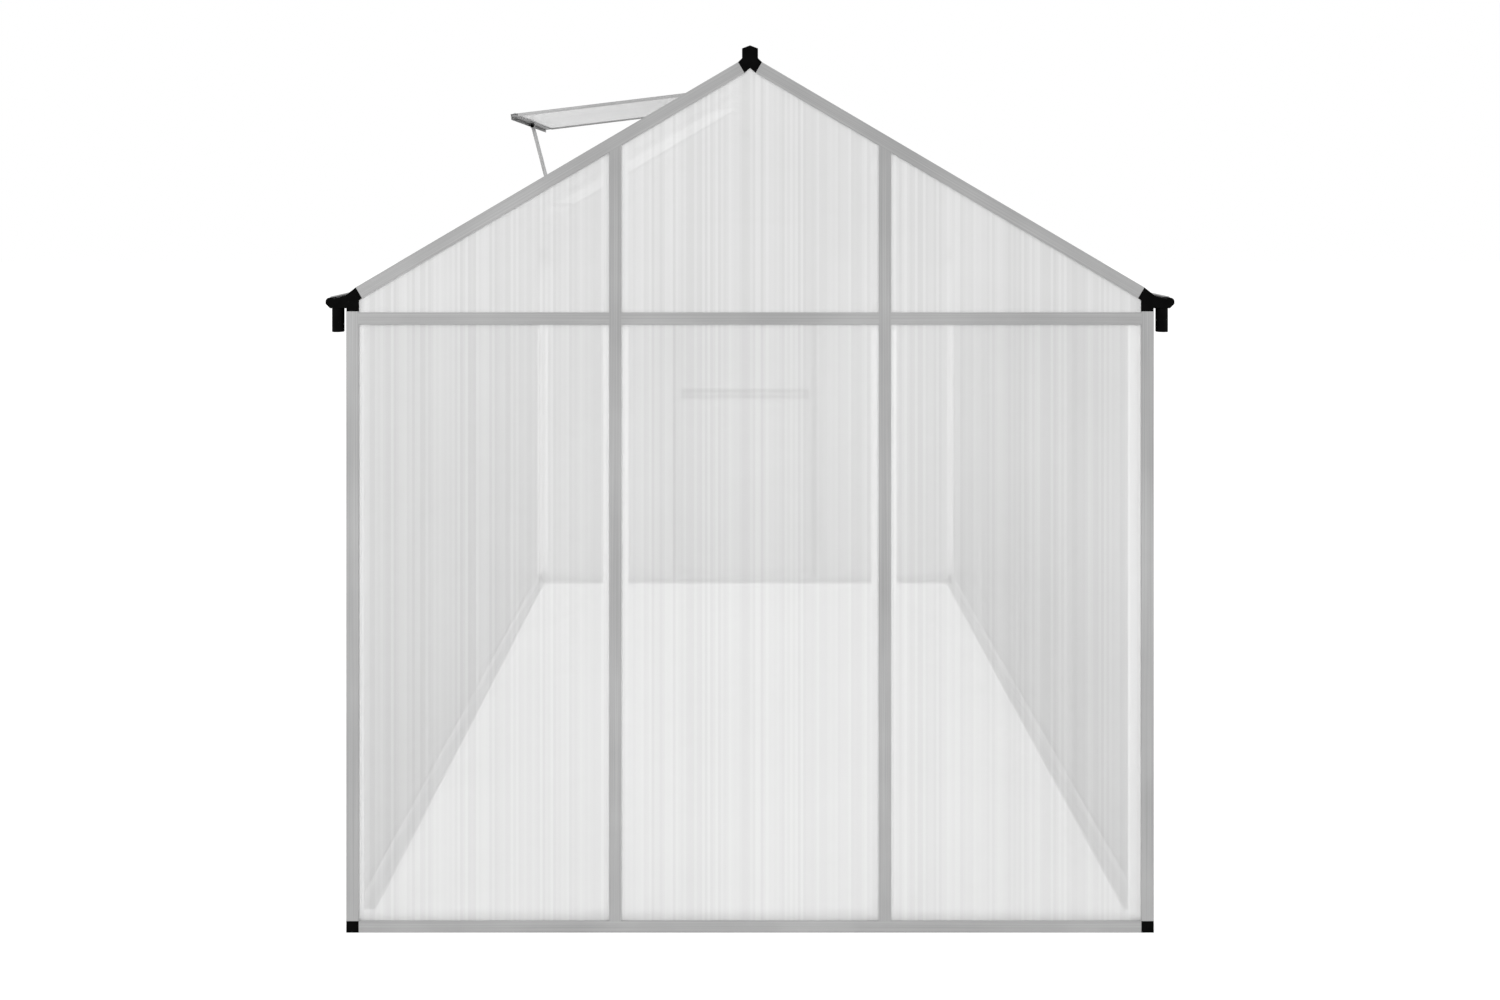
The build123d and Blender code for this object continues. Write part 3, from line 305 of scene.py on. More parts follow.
@dataclass(frozen=True)
class MillAluminium(Finish):
    """Aluminium alloy bar, extruded and left in its mill finish.

    The die draws fine lines along every bar. Outside, the bare skin has oxidised to a soft, uneven
    grey; what lies behind the sheets is painted brighter, as painted light for what the sheets let
    through.
    """

    run: Run
    skin: Skin
    cover: Cover = Cover.FRAME
    grade: str = "plain"
    dull: str = "#959595"
    middle: str = "#9F9F9F"
    pale: str = "#A9A9A9"
    # Painted light: the near-white colour of the skin behind the sheets
    painted_light_skin: str = "#F4F4F4"
    # Where along the mixed noise each of the three greys stands
    stops: tuple[float, float, float] = (0.36, 0.5, 0.64)
    metallic: float = 1.0
    roughness: float = 0.45
    smoother: float = 0.06
    rougher: float = 0.08
    covered_roughness: float = 0.8
    # Real die lines are 0.1 to 0.5 mm apart; they are drawn coarser so that they show
    die_line_mm: float = 2.4
    line_detail: float = 3.0
    line_share: float = 0.55
    line_height_mm: float = 0.2
    line_strength: float = 0.12
    stretch: float = 0.004
    cloud_mm: float = 320.0
    cloud_detail: float = 3.0
    cloud_roughness: float = 0.55
    cloud_share: float = 0.45
    # How far behind the cover's depth the painted light on the skin reaches full strength
    fade_mm: float = 0.4

    @property
    def name(self) -> str:
        """The material's name."""
        words = (self.grade, self.cover.name, self.skin.name, self.run.name)
        return "mill_aluminium_" + "_".join(words).lower()

    def surface(self, tree: bpy.types.NodeTree) -> bpy.types.NodeSocket:
        """Adds the finish's nodes.

        Args:
            tree: The material's node tree.

        Returns:
            The output socket of its shader.
        """
        place = mirrored_place(tree)
        sideways = Vector(self.skin.value[0]).cross(Vector(self.run.value))
        dot = {"operation": "DOT_PRODUCT"}
        along = add_node(tree, "VectorMath", dot, {0: place, 1: self.run.value})
        across = add_node(tree, "VectorMath", dot, {0: place, 1: tuple(sideways)})
        depth = depth_behind(tree, place, self.skin)
        stretched = add_node(
            tree, "Math", {"operation": "MULTIPLY"}, {0: along.outputs["Value"], 1: self.stretch}
        )
        drawn = add_node(
            tree,
            "CombineXYZ",
            inputs={0: across.outputs["Value"], 1: depth, 2: stretched.outputs[0]},
        )
        lines = add_node(
            tree,
            "TexNoise",
            inputs={
                "Vector": drawn.outputs[0],
                "Scale": 1 / (self.die_line_mm * MM),
                "Detail": self.line_detail,
            },
        )
        clouds = add_node(
            tree,
            "TexNoise",
            inputs={
                "Vector": add_node(tree, "TexCoord").outputs["Object"],
                "Scale": 1 / (self.cloud_mm * MM),
                "Detail": self.cloud_detail,
                "Roughness": self.cloud_roughness,
            },
        )
        clouded = add_node(
            tree,
            "Math",
            {"operation": "MULTIPLY"},
            {0: clouds.outputs["Fac"], 1: self.cloud_share},
        )
        tone = add_node(
            tree,
            "Math",
            {"operation": "MULTIPLY_ADD"},
            {0: lines.outputs["Fac"], 1: self.line_share, 2: clouded.outputs[0]},
        )
        weathered = set_stops(
            add_node(tree, "ValToRGB", inputs={0: tone.outputs[0]}),
            dict(zip(self.stops, (self.dull, self.middle, self.pale))),
        )
        planes, start_mm = self.cover.value
        least: float | bpy.types.NodeSocket = 0.0
        for number, plane in enumerate(planes):
            behind = depth_behind(tree, place, plane)
            if number:
                smaller = {"operation": "MINIMUM"}
                behind = add_node(tree, "Math", smaller, {0: behind, 1: least}).outputs[0]
            least = behind
        hidden = add_node(
            tree,
            "MapRange",
            inputs={0: least, 1: start_mm * MM, 2: (start_mm + self.fade_mm) * MM},
        ).outputs[0]
        # Behind the sheets the colour turns to painted light
        colour = add_node(
            tree,
            "Mix",
            {"data_type": "RGBA"},
            {0: hidden, 6: weathered, 7: linear(self.painted_light_skin)},
        )
        drawn_rough = add_node(
            tree,
            "MapRange",
            inputs={
                0: lines.outputs["Fac"],
                3: self.roughness - self.smoother,
                4: self.roughness + self.rougher,
            },
        )
        rough = add_node(
            tree,
            "Mix",
            {"data_type": "FLOAT"},
            {0: hidden, 2: drawn_rough.outputs[0], 3: self.covered_roughness},
        )
        bump = add_node(
            tree,
            "Bump",
            inputs={
                "Strength": self.line_strength,
                "Distance": self.line_height_mm * MM,
                "Height": lines.outputs["Fac"],
            },
        )
        skin = add_node(
            tree,
            "BsdfPrincipled",
            inputs={
                "Base Color": colour.outputs[2],
                "Metallic": self.metallic,
                "Roughness": rough.outputs[0],
                "Normal": bump.outputs[0],
            },
        )
        return skin.outputs[0]


def frame_finish(node: str, run: Run, skin: Skin) -> MillAluminium:
    """Gives a bar's finish; only the lit gable's bars get the full painted light on their inner
    skin.

    Args:
        node: The bar's name.
        run: The way it was drawn.
        skin: The plane it lies in.

    Returns:
        The finish.
    """
    if node.startswith("rear") or node == "corner_posts":
        return MillAluminium(run, skin)
    return MillAluminium(run, skin, grade="shaded", painted_light_skin=SHADED_SKIN)


@dataclass(frozen=True)
class TwinWallPolycarbonate(Finish):
    """Clear twin-wall polycarbonate, extruded as two skins with a rib every few millimetres.

    Skins and ribs scatter light, so a sheet looks milky with fine lines along its flutes, and only
    pale shapes show through it. Lamps light the inside through it.
    """

    run: Run
    skin: Skin
    grade: str = "clear"
    shade: str = "#DDDDDD"
    middle: str = "#E4E4E4"
    pale: str = "#EBEBEB"
    # Where along the mixed noise each of the three greys stands
    stops: tuple[float, float, float] = (0.2, 0.5, 0.8)
    # The side walls' sheets are darker towards the ground; white means no darkening
    foot: str = "#FFFFFF"
    foot_top: float = 0.95
    foot_base: float = 0.15
    alpha: float = 0.45
    # How much of the light from lamps, and of what bright metal mirrors, gets through each skin
    lamp_pass: float = 0.775
    mirror_pass: float = 0.97
    roughness: float = 0.3
    specular: float = 0.3
    pitch_mm: float = FLUTE_PITCH_MM
    flute_share: float = 0.5
    flute_height_mm: float = 0.2
    flute_strength: float = 0.25
    streak_mm: float = 26.0
    streak_detail: float = 1.0
    streak_share: float = 0.22
    cloud_mm: float = 420.0
    cloud_share: float = 0.28

    @property
    def name(self) -> str:
        """The material's name."""
        return f"twin_wall_polycarbonate_{self.grade}_{self.skin.name.lower()}"

    def surface(self, tree: bpy.types.NodeTree) -> bpy.types.NodeSocket:
        """Adds the finish's nodes.

        Args:
            tree: The material's node tree.

        Returns:
            The output socket of its shader.
        """
        place = add_node(tree, "TexCoord").outputs["Object"]
        sideways = Vector(self.skin.value[0]).cross(Vector(self.run.value))
        across = add_node(
            tree, "VectorMath", {"operation": "DOT_PRODUCT"}, {0: place, 1: tuple(sideways)}
        ).outputs["Value"]
        counted = add_node(
            tree, "Math", {"operation": "MULTIPLY"}, {0: across, 1: 1 / (self.pitch_mm * MM)}
        )
        flute = add_node(tree, "Math", {"operation": "FLOOR"}, {0: counted.outputs[0]})
        tone = add_node(
            tree, "TexWhiteNoise", {"noise_dimensions": "1D"}, {"W": flute.outputs[0]}
        )
        streaks = add_node(
            tree,
            "TexNoise",
            {"noise_dimensions": "1D"},
            {"W": across, "Scale": 1 / (self.streak_mm * MM), "Detail": self.streak_detail},
        )
        clouds = add_node(
            tree,
            "TexNoise",
            inputs={"Vector": place, "Scale": 1 / (self.cloud_mm * MM), "Detail": 0.0},
        )
        mixed = add_node(
            tree, "Math", {"operation": "MULTIPLY"}, {0: tone.outputs[0], 1: self.flute_share}
        )
        for noise, share in ((streaks, self.streak_share), (clouds, self.cloud_share)):
            mixed = add_node(
                tree,
                "Math",
                {"operation": "MULTIPLY_ADD"},
                {0: noise.outputs["Fac"], 1: share, 2: mixed.outputs[0]},
            )
        colour = set_stops(
            add_node(tree, "ValToRGB", inputs={0: mixed.outputs[0]}),
            dict(zip(self.stops, (self.shade, self.middle, self.pale))),
        )
        height = add_node(tree, "SeparateXYZ", inputs={0: place}).outputs[2]
        low = add_node(
            tree,
            "MapRange",
            inputs={0: height, 1: self.foot_base, 2: self.foot_top, 3: 1.0, 4: 0.0},
        )
        darker_low = add_node(
            tree,
            "Mix",
            {"data_type": "RGBA", "blend_type": "MULTIPLY"},
            {0: low.outputs[0], 6: colour, 7: linear(self.foot)},
        )
        wave = add_node(
            tree, "Math", {"operation": "PINGPONG"}, {0: counted.outputs[0], 1: 0.5}
        )
        bump = add_node(
            tree,
            "Bump",
            inputs={
                "Strength": self.flute_strength,
                "Distance": self.flute_height_mm * MM,
                "Height": wave.outputs[0],
            },
        )
        skin = add_node(
            tree,
            "BsdfPrincipled",
            inputs={
                "Base Color": darker_low.outputs[2],
                "Roughness": self.roughness,
                "IOR": POLYCARBONATE_IOR,
                "Specular IOR Level": self.specular,
                "Alpha": self.alpha,
                "Normal": bump.outputs[0],
            },
        )
        path = add_node(tree, "LightPath")
        shown = skin.outputs[0]
        for ray, share in (("Is Glossy Ray", self.mirror_pass), ("Is Shadow Ray", self.lamp_pass)):
            clear = add_node(tree, "BsdfTransparent", inputs={"Color": (share, share, share, 1.0)})
            both = {0: path.outputs[ray], 1: shown, 2: clear.outputs[0]}
            shown = add_node(tree, "MixShader", inputs=both).outputs[0]
        return shown


@dataclass(frozen=True)
class PolycarbonateRib(Finish):
    """The thin web between a twin-wall sheet's skins, seen on edge as a finer, denser line."""

    name: str = "twin_wall_polycarbonate_rib"
    shade: str = "#C6C6C6"
    pale: str = "#DEDEDE"
    alpha: float = 0.45
    wave_mm: float = 300.0
    roughness: float = 0.4
    # A web shows no gloss of its own, because the skins cover it
    specular: float = 0.0

    def surface(self, tree: bpy.types.NodeTree) -> bpy.types.NodeSocket:
        """Adds the finish's nodes.

        Args:
            tree: The material's node tree.

        Returns:
            The output socket of its shader.
        """
        place = add_node(tree, "TexCoord").outputs["Object"]
        waves = add_node(
            tree,
            "TexNoise",
            inputs={"Vector": place, "Scale": 1 / (self.wave_mm * MM), "Detail": 0.0},
        )
        colour = add_node(
            tree,
            "Mix",
            {"data_type": "RGBA"},
            {0: waves.outputs["Fac"], 6: linear(self.shade), 7: linear(self.pale)},
        )
        skin = add_node(
            tree,
            "BsdfPrincipled",
            inputs={
                "Base Color": colour.outputs[2],
                "Roughness": self.roughness,
                "IOR": POLYCARBONATE_IOR,
                "Specular IOR Level": self.specular,
                "Alpha": self.alpha,
            },
        )
        return skin.outputs[0]


@dataclass(frozen=True)
class MouldedPolypropylene(Finish):
    """Black polypropylene, moulded in a spark-eroded tool: near black, matt, finely grained."""

    name: str = "moulded_black_polypropylene"
    colour: str = "#020202"
    worn: str = "#0C0C0C"
    ior: float = 1.49
    roughness: float = 0.62
    specular: float = 0.02
    # A real spark-eroded grain is about 0.1 mm; it is drawn coarser so that it shows
    grain_mm: float = 0.7
    grain_detail: float = 2.0
    grain_height_mm: float = 0.1
    grain_strength: float = 0.2
    cloud_mm: float = 18.0
    cloud_detail: float = 3.0

    def surface(self, tree: bpy.types.NodeTree) -> bpy.types.NodeSocket:
        """Adds the finish's nodes.

        Args:
            tree: The material's node tree.

        Returns:
            The output socket of its shader.
        """
        place = add_node(tree, "TexCoord").outputs["Object"]
        grain, clouds = (
            add_node(
                tree,
                "TexNoise",
                inputs={"Vector": place, "Scale": 1 / (size_mm * MM), "Detail": detail},
            )
            for size_mm, detail in (
                (self.grain_mm, self.grain_detail),
                (self.cloud_mm, self.cloud_detail),
            )
        )
        colour = add_node(
            tree,
            "Mix",
            {"data_type": "RGBA"},
            {0: clouds.outputs["Fac"], 6: linear(self.colour), 7: linear(self.worn)},
        )
        bump = add_node(
            tree,
            "Bump",
            inputs={
                "Strength": self.grain_strength,
                "Distance": self.grain_height_mm * MM,
                "Height": grain.outputs["Fac"],
            },
        )
        skin = add_node(
            tree,
            "BsdfPrincipled",
            inputs={
                "Base Color": colour.outputs[2],
                "Roughness": self.roughness,
                "IOR": self.ior,
                "Specular IOR Level": self.specular,
                "Normal": bump.outputs[0],
            },
        )
        return skin.outputs[0]


@dataclass(frozen=True)
class ZincPlatedSteel(Finish):
    """Pressed and turned steel, zinc plated: a cool, slightly blotched shine."""

    name: str = "zinc_plated_steel"
    dark: str = "#8A8C8D"
    light: str = "#B9BBBC"
    # Where along the noise the two greys stand
    stops: tuple[float, float] = (0.3, 0.7)
    metallic: float = 1.0
    roughness: float = 0.34
    smoother: float = 0.08
    rougher: float = 0.1
    spangle_mm: float = 2.5
    spangle_detail: float = 3.0

    def surface(self, tree: bpy.types.NodeTree) -> bpy.types.NodeSocket:
        """Adds the finish's nodes.

        Args:
            tree: The material's node tree.

        Returns:
            The output socket of its shader.
        """
        place = add_node(tree, "TexCoord").outputs["Object"]
        spangle = add_node(
            tree,
            "TexNoise",
            inputs={
                "Vector": place,
                "Scale": 1 / (self.spangle_mm * MM),
                "Detail": self.spangle_detail,
            },
        )
        colour = set_stops(
            add_node(tree, "ValToRGB", inputs={0: spangle.outputs["Fac"]}),
            dict(zip(self.stops, (self.dark, self.light))),
        )
        rough = add_node(
            tree,
            "MapRange",
            inputs={
                0: spangle.outputs["Fac"],
                3: self.roughness - self.smoother,
                4: self.roughness + self.rougher,
            },
        )
        skin = add_node(
            tree,
            "BsdfPrincipled",
            inputs={
                "Base Color": colour,
                "Metallic": self.metallic,
                "Roughness": rough.outputs[0],
            },
        )
        return skin.outputs[0]


class SlotName(Enum):
    """The record's material slots."""

    ALUMINIUM = "mill_aluminium"
    SHEET = "twin_wall_sheet"
    MOULDING = "black_moulding"
    STEEL = "zinc_steel"


def dress(node: str, material: bpy.types.Material) -> None:
    """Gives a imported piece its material.

    Args:
        node: The piece's name.
        material: What it is made of.
    """
    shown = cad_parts[node]
    if not shown.data.materials:
        shown.data.materials.append(material)
    for slot in shown.material_slots:
        slot.link = "OBJECT"
        slot.material = material
    log.info("dressed %s in %s", node, material.name)


def add_piece(
    name: str,
    mesh: bpy.types.Mesh,
    material: bpy.types.Material,
) -> bpy.types.Object:
    """Adds a new piece that rides with the building.

    Args:
        name: The piece's name.
        mesh: Its mesh, in place.
        material: What it is made of.

    Returns:
        The new object.
    """
    mesh.materials.append(material)
    piece = bpy.data.objects.new(name, mesh)
    bpy.context.scene.collection.objects.link(piece)
    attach(piece, "root")
    log.info("added %s with %d faces", name, len(mesh.polygons))
    return piece


@dataclass(frozen=True)
class Fastener:
    """A screw, bolt or nut, built up from rings along its axis, its seat at height zero."""

    rings_mm: tuple[tuple[float, float, Outline], ...]
    segments: int = 24

    def points(self) -> list[Vector]:
        """Works out the corners of every ring, from the seat to the top.

        Returns:
            The corners, ring by ring.
        """
        corners = []
        for radius, height, outline in self.rings_mm:
            for step in range(self.segments):
                angle = math.tau * step / self.segments
                reach = radius
                if outline is Outline.HEXAGON:
                    sector = math.tau / outline.value
                    reach = radius / math.cos((angle % sector) - sector / 2)
                corners.append(
                    Vector((reach * math.cos(angle), reach * math.sin(angle), height)) * MM
                )
        return corners

    def faces(self, first: int) -> list[tuple[int, ...]]:
        """Joins the rings and closes both ends.

        Args:
            first: The number of the fastener's first corner in the shared mesh.

        Returns:
            The faces, as corner numbers.
        """
        count = self.segments
        faces = [tuple(first + step for step in reversed(range(count)))]
        for ring in range(len(self.rings_mm) - 1):
            low = first + ring * count
            for step in range(count):
                after = (step + 1) % count
                faces.append((low + step, low + after, low + count + after, low + count + step))
        top = first + (len(self.rings_mm) - 1) * count
        faces.append(tuple(top + step for step in range(count)))
        return faces


HEX_NUT = Fastener(
    (
        (6.0, 0.0, Outline.ROUND),
        (6.0, 1.0, Outline.ROUND),
        (5.0, 1.0, Outline.HEXAGON),
        (5.0, 5.2, Outline.HEXAGON),
        (4.7, 5.8, Outline.ROUND),
        (3.3, 5.8, Outline.ROUND),
        (2.9, 5.2, Outline.ROUND),
        (2.9, 8.4, Outline.ROUND),
        (2.4, 8.9, Outline.ROUND),
    )
)
DOME_SCREW = Fastener(
    (
        (4.2, 0.0, Outline.ROUND),
        (4.2, 0.6, Outline.ROUND),
        (3.7, 1.7, Outline.ROUND),
        (2.8, 2.4, Outline.ROUND),
        (1.6, 2.6, Outline.HEXAGON),
        (1.4, 1.2, Outline.HEXAGON),
    )
)
KNOB = Fastener(
    (
        (3.0, 0.0, Outline.ROUND),
        (4.8, 0.2, Outline.ROUND),
        (5.2, 1.2, Outline.ROUND),
        (5.2, 4.2, Outline.ROUND),
        (4.6, 5.2, Outline.ROUND),
        (2.4, 5.6, Outline.ROUND),
    )
)


@dataclass
class FastenerSet:
    """Like fasteners of one sub-assembly, joined in one mesh."""

    name: str
    kind: Fastener
    places: list[Matrix] = field(default_factory=list)

    def mesh(self) -> bpy.types.Mesh:
        """Builds the mesh of every fastener in its place.

        Returns:
            The mesh.
        """
        corners, faces = [], []
        shape = self.kind.points()
        for place in self.places:
            faces += self.kind.faces(len(corners))
            corners += [place @ corner for corner in shape]
        mesh = bpy.data.meshes.new(self.name)
        mesh.from_pydata(corners, [], faces)
        mesh.shade_smooth()
        mesh.set_sharp_from_angle(angle=SHARP_ANGLE)
        return mesh

    def add(self, finish: Finish, slot: SlotName) -> None:
        """Adds the fasteners in a finish."""
        add_piece(self.name, self.mesh(), finish.material())


# Painted shade: the far gable's, the door's and the side walls' sheets are greyer than the lit
# gable's
PAINTED_SHADE_GREYS = {"shade": "#D0D0D0", "middle": "#D7D7D7", "pale": "#DEDEDE"}
# The upper gable sheets are milkier, and their greys are darker: painted shade
MILKIER_SHADED = {
    "shade": "#D8D8D8",
    "middle": "#DFDFDF",
    "pale": "#E6E6E6",
    "alpha": 0.68,
    "lamp_pass": 0.66,
}
REAR_SHEET = TwinWallPolycarbonate(Run.Z, Skin.GABLE)
FRONT_SHEET = TwinWallPolycarbonate(Run.Z, Skin.GABLE, "greyer", **PAINTED_SHADE_GREYS)
HIGH_SHEET = TwinWallPolycarbonate(Run.Z, Skin.GABLE, "milkier", **MILKIER_SHADED)
SIDE_SHEET = TwinWallPolycarbonate(Run.Z, Skin.SIDE, "greyer", **PAINTED_SHADE_GREYS, foot="#BBBBBB")
ROOF_SHEET = TwinWallPolycarbonate(Run.SLOPE, Skin.SLOPE)
# The vent's sheet is paler than the others: painted light; it is also more see-through
VENT_SHEET = TwinWallPolycarbonate(
    Run.VENT, Skin.VENT, "newer", shade="#EEEEEE", middle="#F3F3F3", pale="#F8F8F8", alpha=0.32
)
DOOR_SHEET = TwinWallPolycarbonate(Run.Z, Skin.DOOR, "greyer", **PAINTED_SHADE_GREYS)
# The vent's ribs are paler than the others too: painted light
PAINTED_PALER_RIB = PolycarbonateRib("twin_wall_polycarbonate_newer_rib", "#E8E8E8", "#F4F4F4", 0.3)


@dataclass
class Glazing:
    """Every twin-wall sheet of the building, with the ribs between its two skins."""

    sheets: dict[str, tuple[Face, TwinWallPolycarbonate]] = field(
        default_factory=lambda: {
            "rear_lower_sheets": (REAR, REAR_SHEET),
            "rear_upper_sheets": (REAR, HIGH_SHEET),
            "front_lower_sheets": (FRONT, FRONT_SHEET),
            "front_upper_sheets": (FRONT, HIGH_SHEET),
            "left_wall_sheets": (LEFT, SIDE_SHEET),
            "right_wall_sheets": (RIGHT, SIDE_SHEET),
            "left_roof_sheets": (LEFT_SLOPE, ROOF_SHEET),
            "right_roof_sheets": (RIGHT_SLOPE, ROOF_SHEET),
            "door_sheets": (DOOR, DOOR_SHEET),
        }
    )
    pitch: float = FLUTE_PITCH_MM * MM
    # A real rib is about 0.3 mm thick; it is drawn coarser so that it shows
    rib: float = 0.7 * MM
    skin_wall: float = 0.4 * MM
    end_gap: float = 0.6 * MM
    shortest: float = 2.4 * MM

    def spans(self, node: str, face: Face) -> tuple[dict[float, list], float, float]:
        """Finds where each rib line crosses a node's sheets.

        Args:
            node: The node of sheets in one plane.
            face: The plane they lie in.

        Returns:
            For each place along the face, the ends of its stretches; and the sheets' two depths.
        """
        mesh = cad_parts[node].data
        mesh.calc_loop_triangles()
        inward = face.inward
        local = []
        for vertex in mesh.vertices:
            reach = vertex.co - face.origin
            local.append((reach.dot(face.along), reach.dot(inward), reach.dot(face.up)))
        near = min(point[1] for point in local)
        far = max(point[1] for point in local)
        crossings: dict[float, list] = {}
        start = face.origin.dot(face.along)
        for triangle in mesh.loop_triangles:
            corners = [local[number] for number in triangle.vertices]
            if max(abs(corner[1] - near) for corner in corners) > self.skin_wall:
                continue
            lowest = min(corner[0] for corner in corners)
            highest = max(corner[0] for corner in corners)
            first = math.ceil((lowest + start) / self.pitch)
            last = math.floor((highest + start) / self.pitch)
            for count in range(first, last + 1):
                along = count * self.pitch - start
                heights = []
                for one, other in zip(corners, corners[1:] + corners[:1]):
                    if (one[0] - along) * (other[0] - along) < 0:
                        share = (along - one[0]) / (other[0] - one[0])
                        heights.append(one[2] + share * (other[2] - one[2]))
                if len(heights) == 2:
                    crossings.setdefault(along, []).append(tuple(sorted(heights)))
        return {along: self.joined(parts) for along, parts in crossings.items()}, near, far

    @staticmethod
    def joined(parts: list[tuple[float, float]], gap: float = 0.1 * MM) -> list[list[float]]:
        """Joins stretches of one line that touch.

        Args:
            parts: The lower and upper end of each stretch.
            gap: Stretches closer than this touch.

        Returns:
            The joined stretches, from the lowest up.
        """
        merged: list[list[float]] = []
        for low, high in sorted(parts):
            if merged and low - merged[-1][1] < gap:
                merged[-1][1] = max(merged[-1][1], high)
            else:
                merged.append([low, high])
        return merged

    def rib_mesh(self, node: str, face: Face) -> bpy.types.Mesh:
        """Builds the ribs of one node of sheets.

        Args:
            node: The node of sheets.
            face: The plane they lie in.

        Returns:
            A mesh of closed thin bars, one for each rib.
        """
        lines, near, far = self.spans(node, face)
        corners, faces = [], []
        for along, parts in sorted(lines.items()):
            for low, high in parts:
                if high - low < self.shortest:
                    continue
                first = len(corners)
                for up in (low + self.end_gap, high - self.end_gap):
                    for side, depth in (
                        (-1, near + self.skin_wall),
                        (1, near + self.skin_wall),
                        (1, far - self.skin_wall),
                        (-1, far - self.skin_wall),
                    ):
                        corners.append(face.at(along + side * self.rib / 2, depth, up))
                faces += [
                    tuple(first + number for number in corner)
                    for corner in (
                        (3, 2, 1, 0),
                        (4, 5, 6, 7),
                        (0, 1, 5, 4),
                        (1, 2, 6, 5),
                        (2, 3, 7, 6),
                        (3, 0, 4, 7),
                    )
                ]
        mesh = bpy.data.meshes.new(f"{node}_ribs")
        mesh.from_pydata(corners, [], faces)
        return mesh

    def add_ribs(
        self,
        node: str,
        face: Face,
        finish: PolycarbonateRib = PolycarbonateRib(),
    ) -> None:
        """Adds the ribs of one node of sheets, which lamps shine past.

        Args:
            node: The node of sheets.
            face: The plane they lie in.
            finish: What the ribs are made of.
        """
        mesh = self.rib_mesh(node, face)
        piece = add_piece(mesh.name, mesh, finish.material())
        piece.visible_shadow = False
        piece.visible_glossy = False

    def build(self) -> None:
        """Dresses every sheet and adds its ribs."""
        for node, (face, sheet) in self.sheets.items():
            dress(node, sheet.material())
            self.add_ribs(node, face)


@dataclass
class WallFrame:
    """Base rails, posts, studs, mullions and gable bars, with the nuts in their bolt channels."""

    bays: int = 4
    corner: float = 28.0 * MM
    flange: float = 16.8 * MM
    foot_nut: float = 31.0 * MM
    head_nut: float = 62.0 * MM
    half_doorway: float = 304.0 * MM
    bars: dict[str, tuple[Run, Skin]] = field(
        default_factory=lambda: {
            "rear_base_rail": (Run.X, Skin.GABLE),
            "front_base_rail": (Run.X, Skin.GABLE),
            "left_base_rail": (Run.Y, Skin.SIDE),
            "right_base_rail": (Run.Y, Skin.SIDE),
            "corner_posts": (Run.Z, Skin.GABLE),
            "left_studs": (Run.Z, Skin.SIDE),
            "right_studs": (Run.Z, Skin.SIDE),
            "rear_mullions": (Run.Z, Skin.GABLE),
            "door_jambs": (Run.Z, Skin.GABLE),
            "rear_transoms": (Run.X, Skin.GABLE),
            "front_transoms": (Run.X, Skin.GABLE),
            "door_header": (Run.X, Skin.GABLE),
        }
    )

    def stud_places(self) -> list[float]:
        """Gives the middle of each stud along a side wall."""
        bay = (LENGTH - self.corner) / self.bays
        return [self.corner / 2 + bay * number for number in range(1, self.bays)]

    def nuts(self) -> FastenerSet:
        """Puts a nut on the inner flange at the foot and head of each stud, and at the foot of the
        two middle bars of each gable.

        Returns:
            The set of nuts.
        """
        found = FastenerSet("wall_frame_nuts", HEX_NUT)
        for wall in (LEFT, RIGHT):
            for along in self.stud_places():
                for up in (self.foot_nut, EAVES - self.head_nut):
                    found.places.append(wall.turned(along, self.flange, up, outwards=False))
        for wall in (REAR, FRONT):
            for side in (-1, 1):
                along = WIDTH / 2 + side * self.half_doorway
                found.places.append(wall.turned(along, self.flange, self.foot_nut, outwards=False))
        return found

    def build(self) -> None:
        """Dresses the bars and corners and adds the nuts."""
        for node, (run, skin) in self.bars.items():
            dress(node, frame_finish(node, run, skin).material())
        dress("base_corners", MouldedPolypropylene().material())
        self.nuts().add(ZincPlatedSteel(), SlotName.STEEL)


@dataclass
class RoofFrame:
    """Eaves beams with their gutters, ridge beam, rafters and roof bars, with their mouldings."""

    bars: dict[str, tuple[Run, Skin]] = field(
        default_factory=lambda: {
            "left_eaves_gutter": (Run.Y, Skin.SIDE),
            "right_eaves_gutter": (Run.Y, Skin.SIDE),
            "ridge_beam": (Run.Y, Skin.SLOPE),
            "rear_rafters": (Run.SLOPE, Skin.GABLE),
            "front_rafters": (Run.SLOPE, Skin.GABLE),
            "left_roof_bars": (Run.SLOPE, Skin.SLOPE),
            "right_roof_bars": (Run.SLOPE, Skin.SLOPE),
        }
    )
    mouldings: tuple[str, ...] = ("eaves_connectors", "gutter_spouts", "ridge_connectors")

    def build(self) -> None:
        """Dresses the bars and mouldings."""
        for node, (run, skin) in self.bars.items():
            dress(node, frame_finish(node, run, skin).material())
        for node in self.mouldings:
            dress(node, MouldedPolypropylene().material())


# The vent's free edge bar is darker than the other bars: painted shade on the vent's underside
UNDER_SHADE = MillAluminium(
    Run.Y, Skin.VENT, Cover.OPEN, "dulled", dull="#7A7A7A", middle="#848484", pale="#8E8E8E"
)


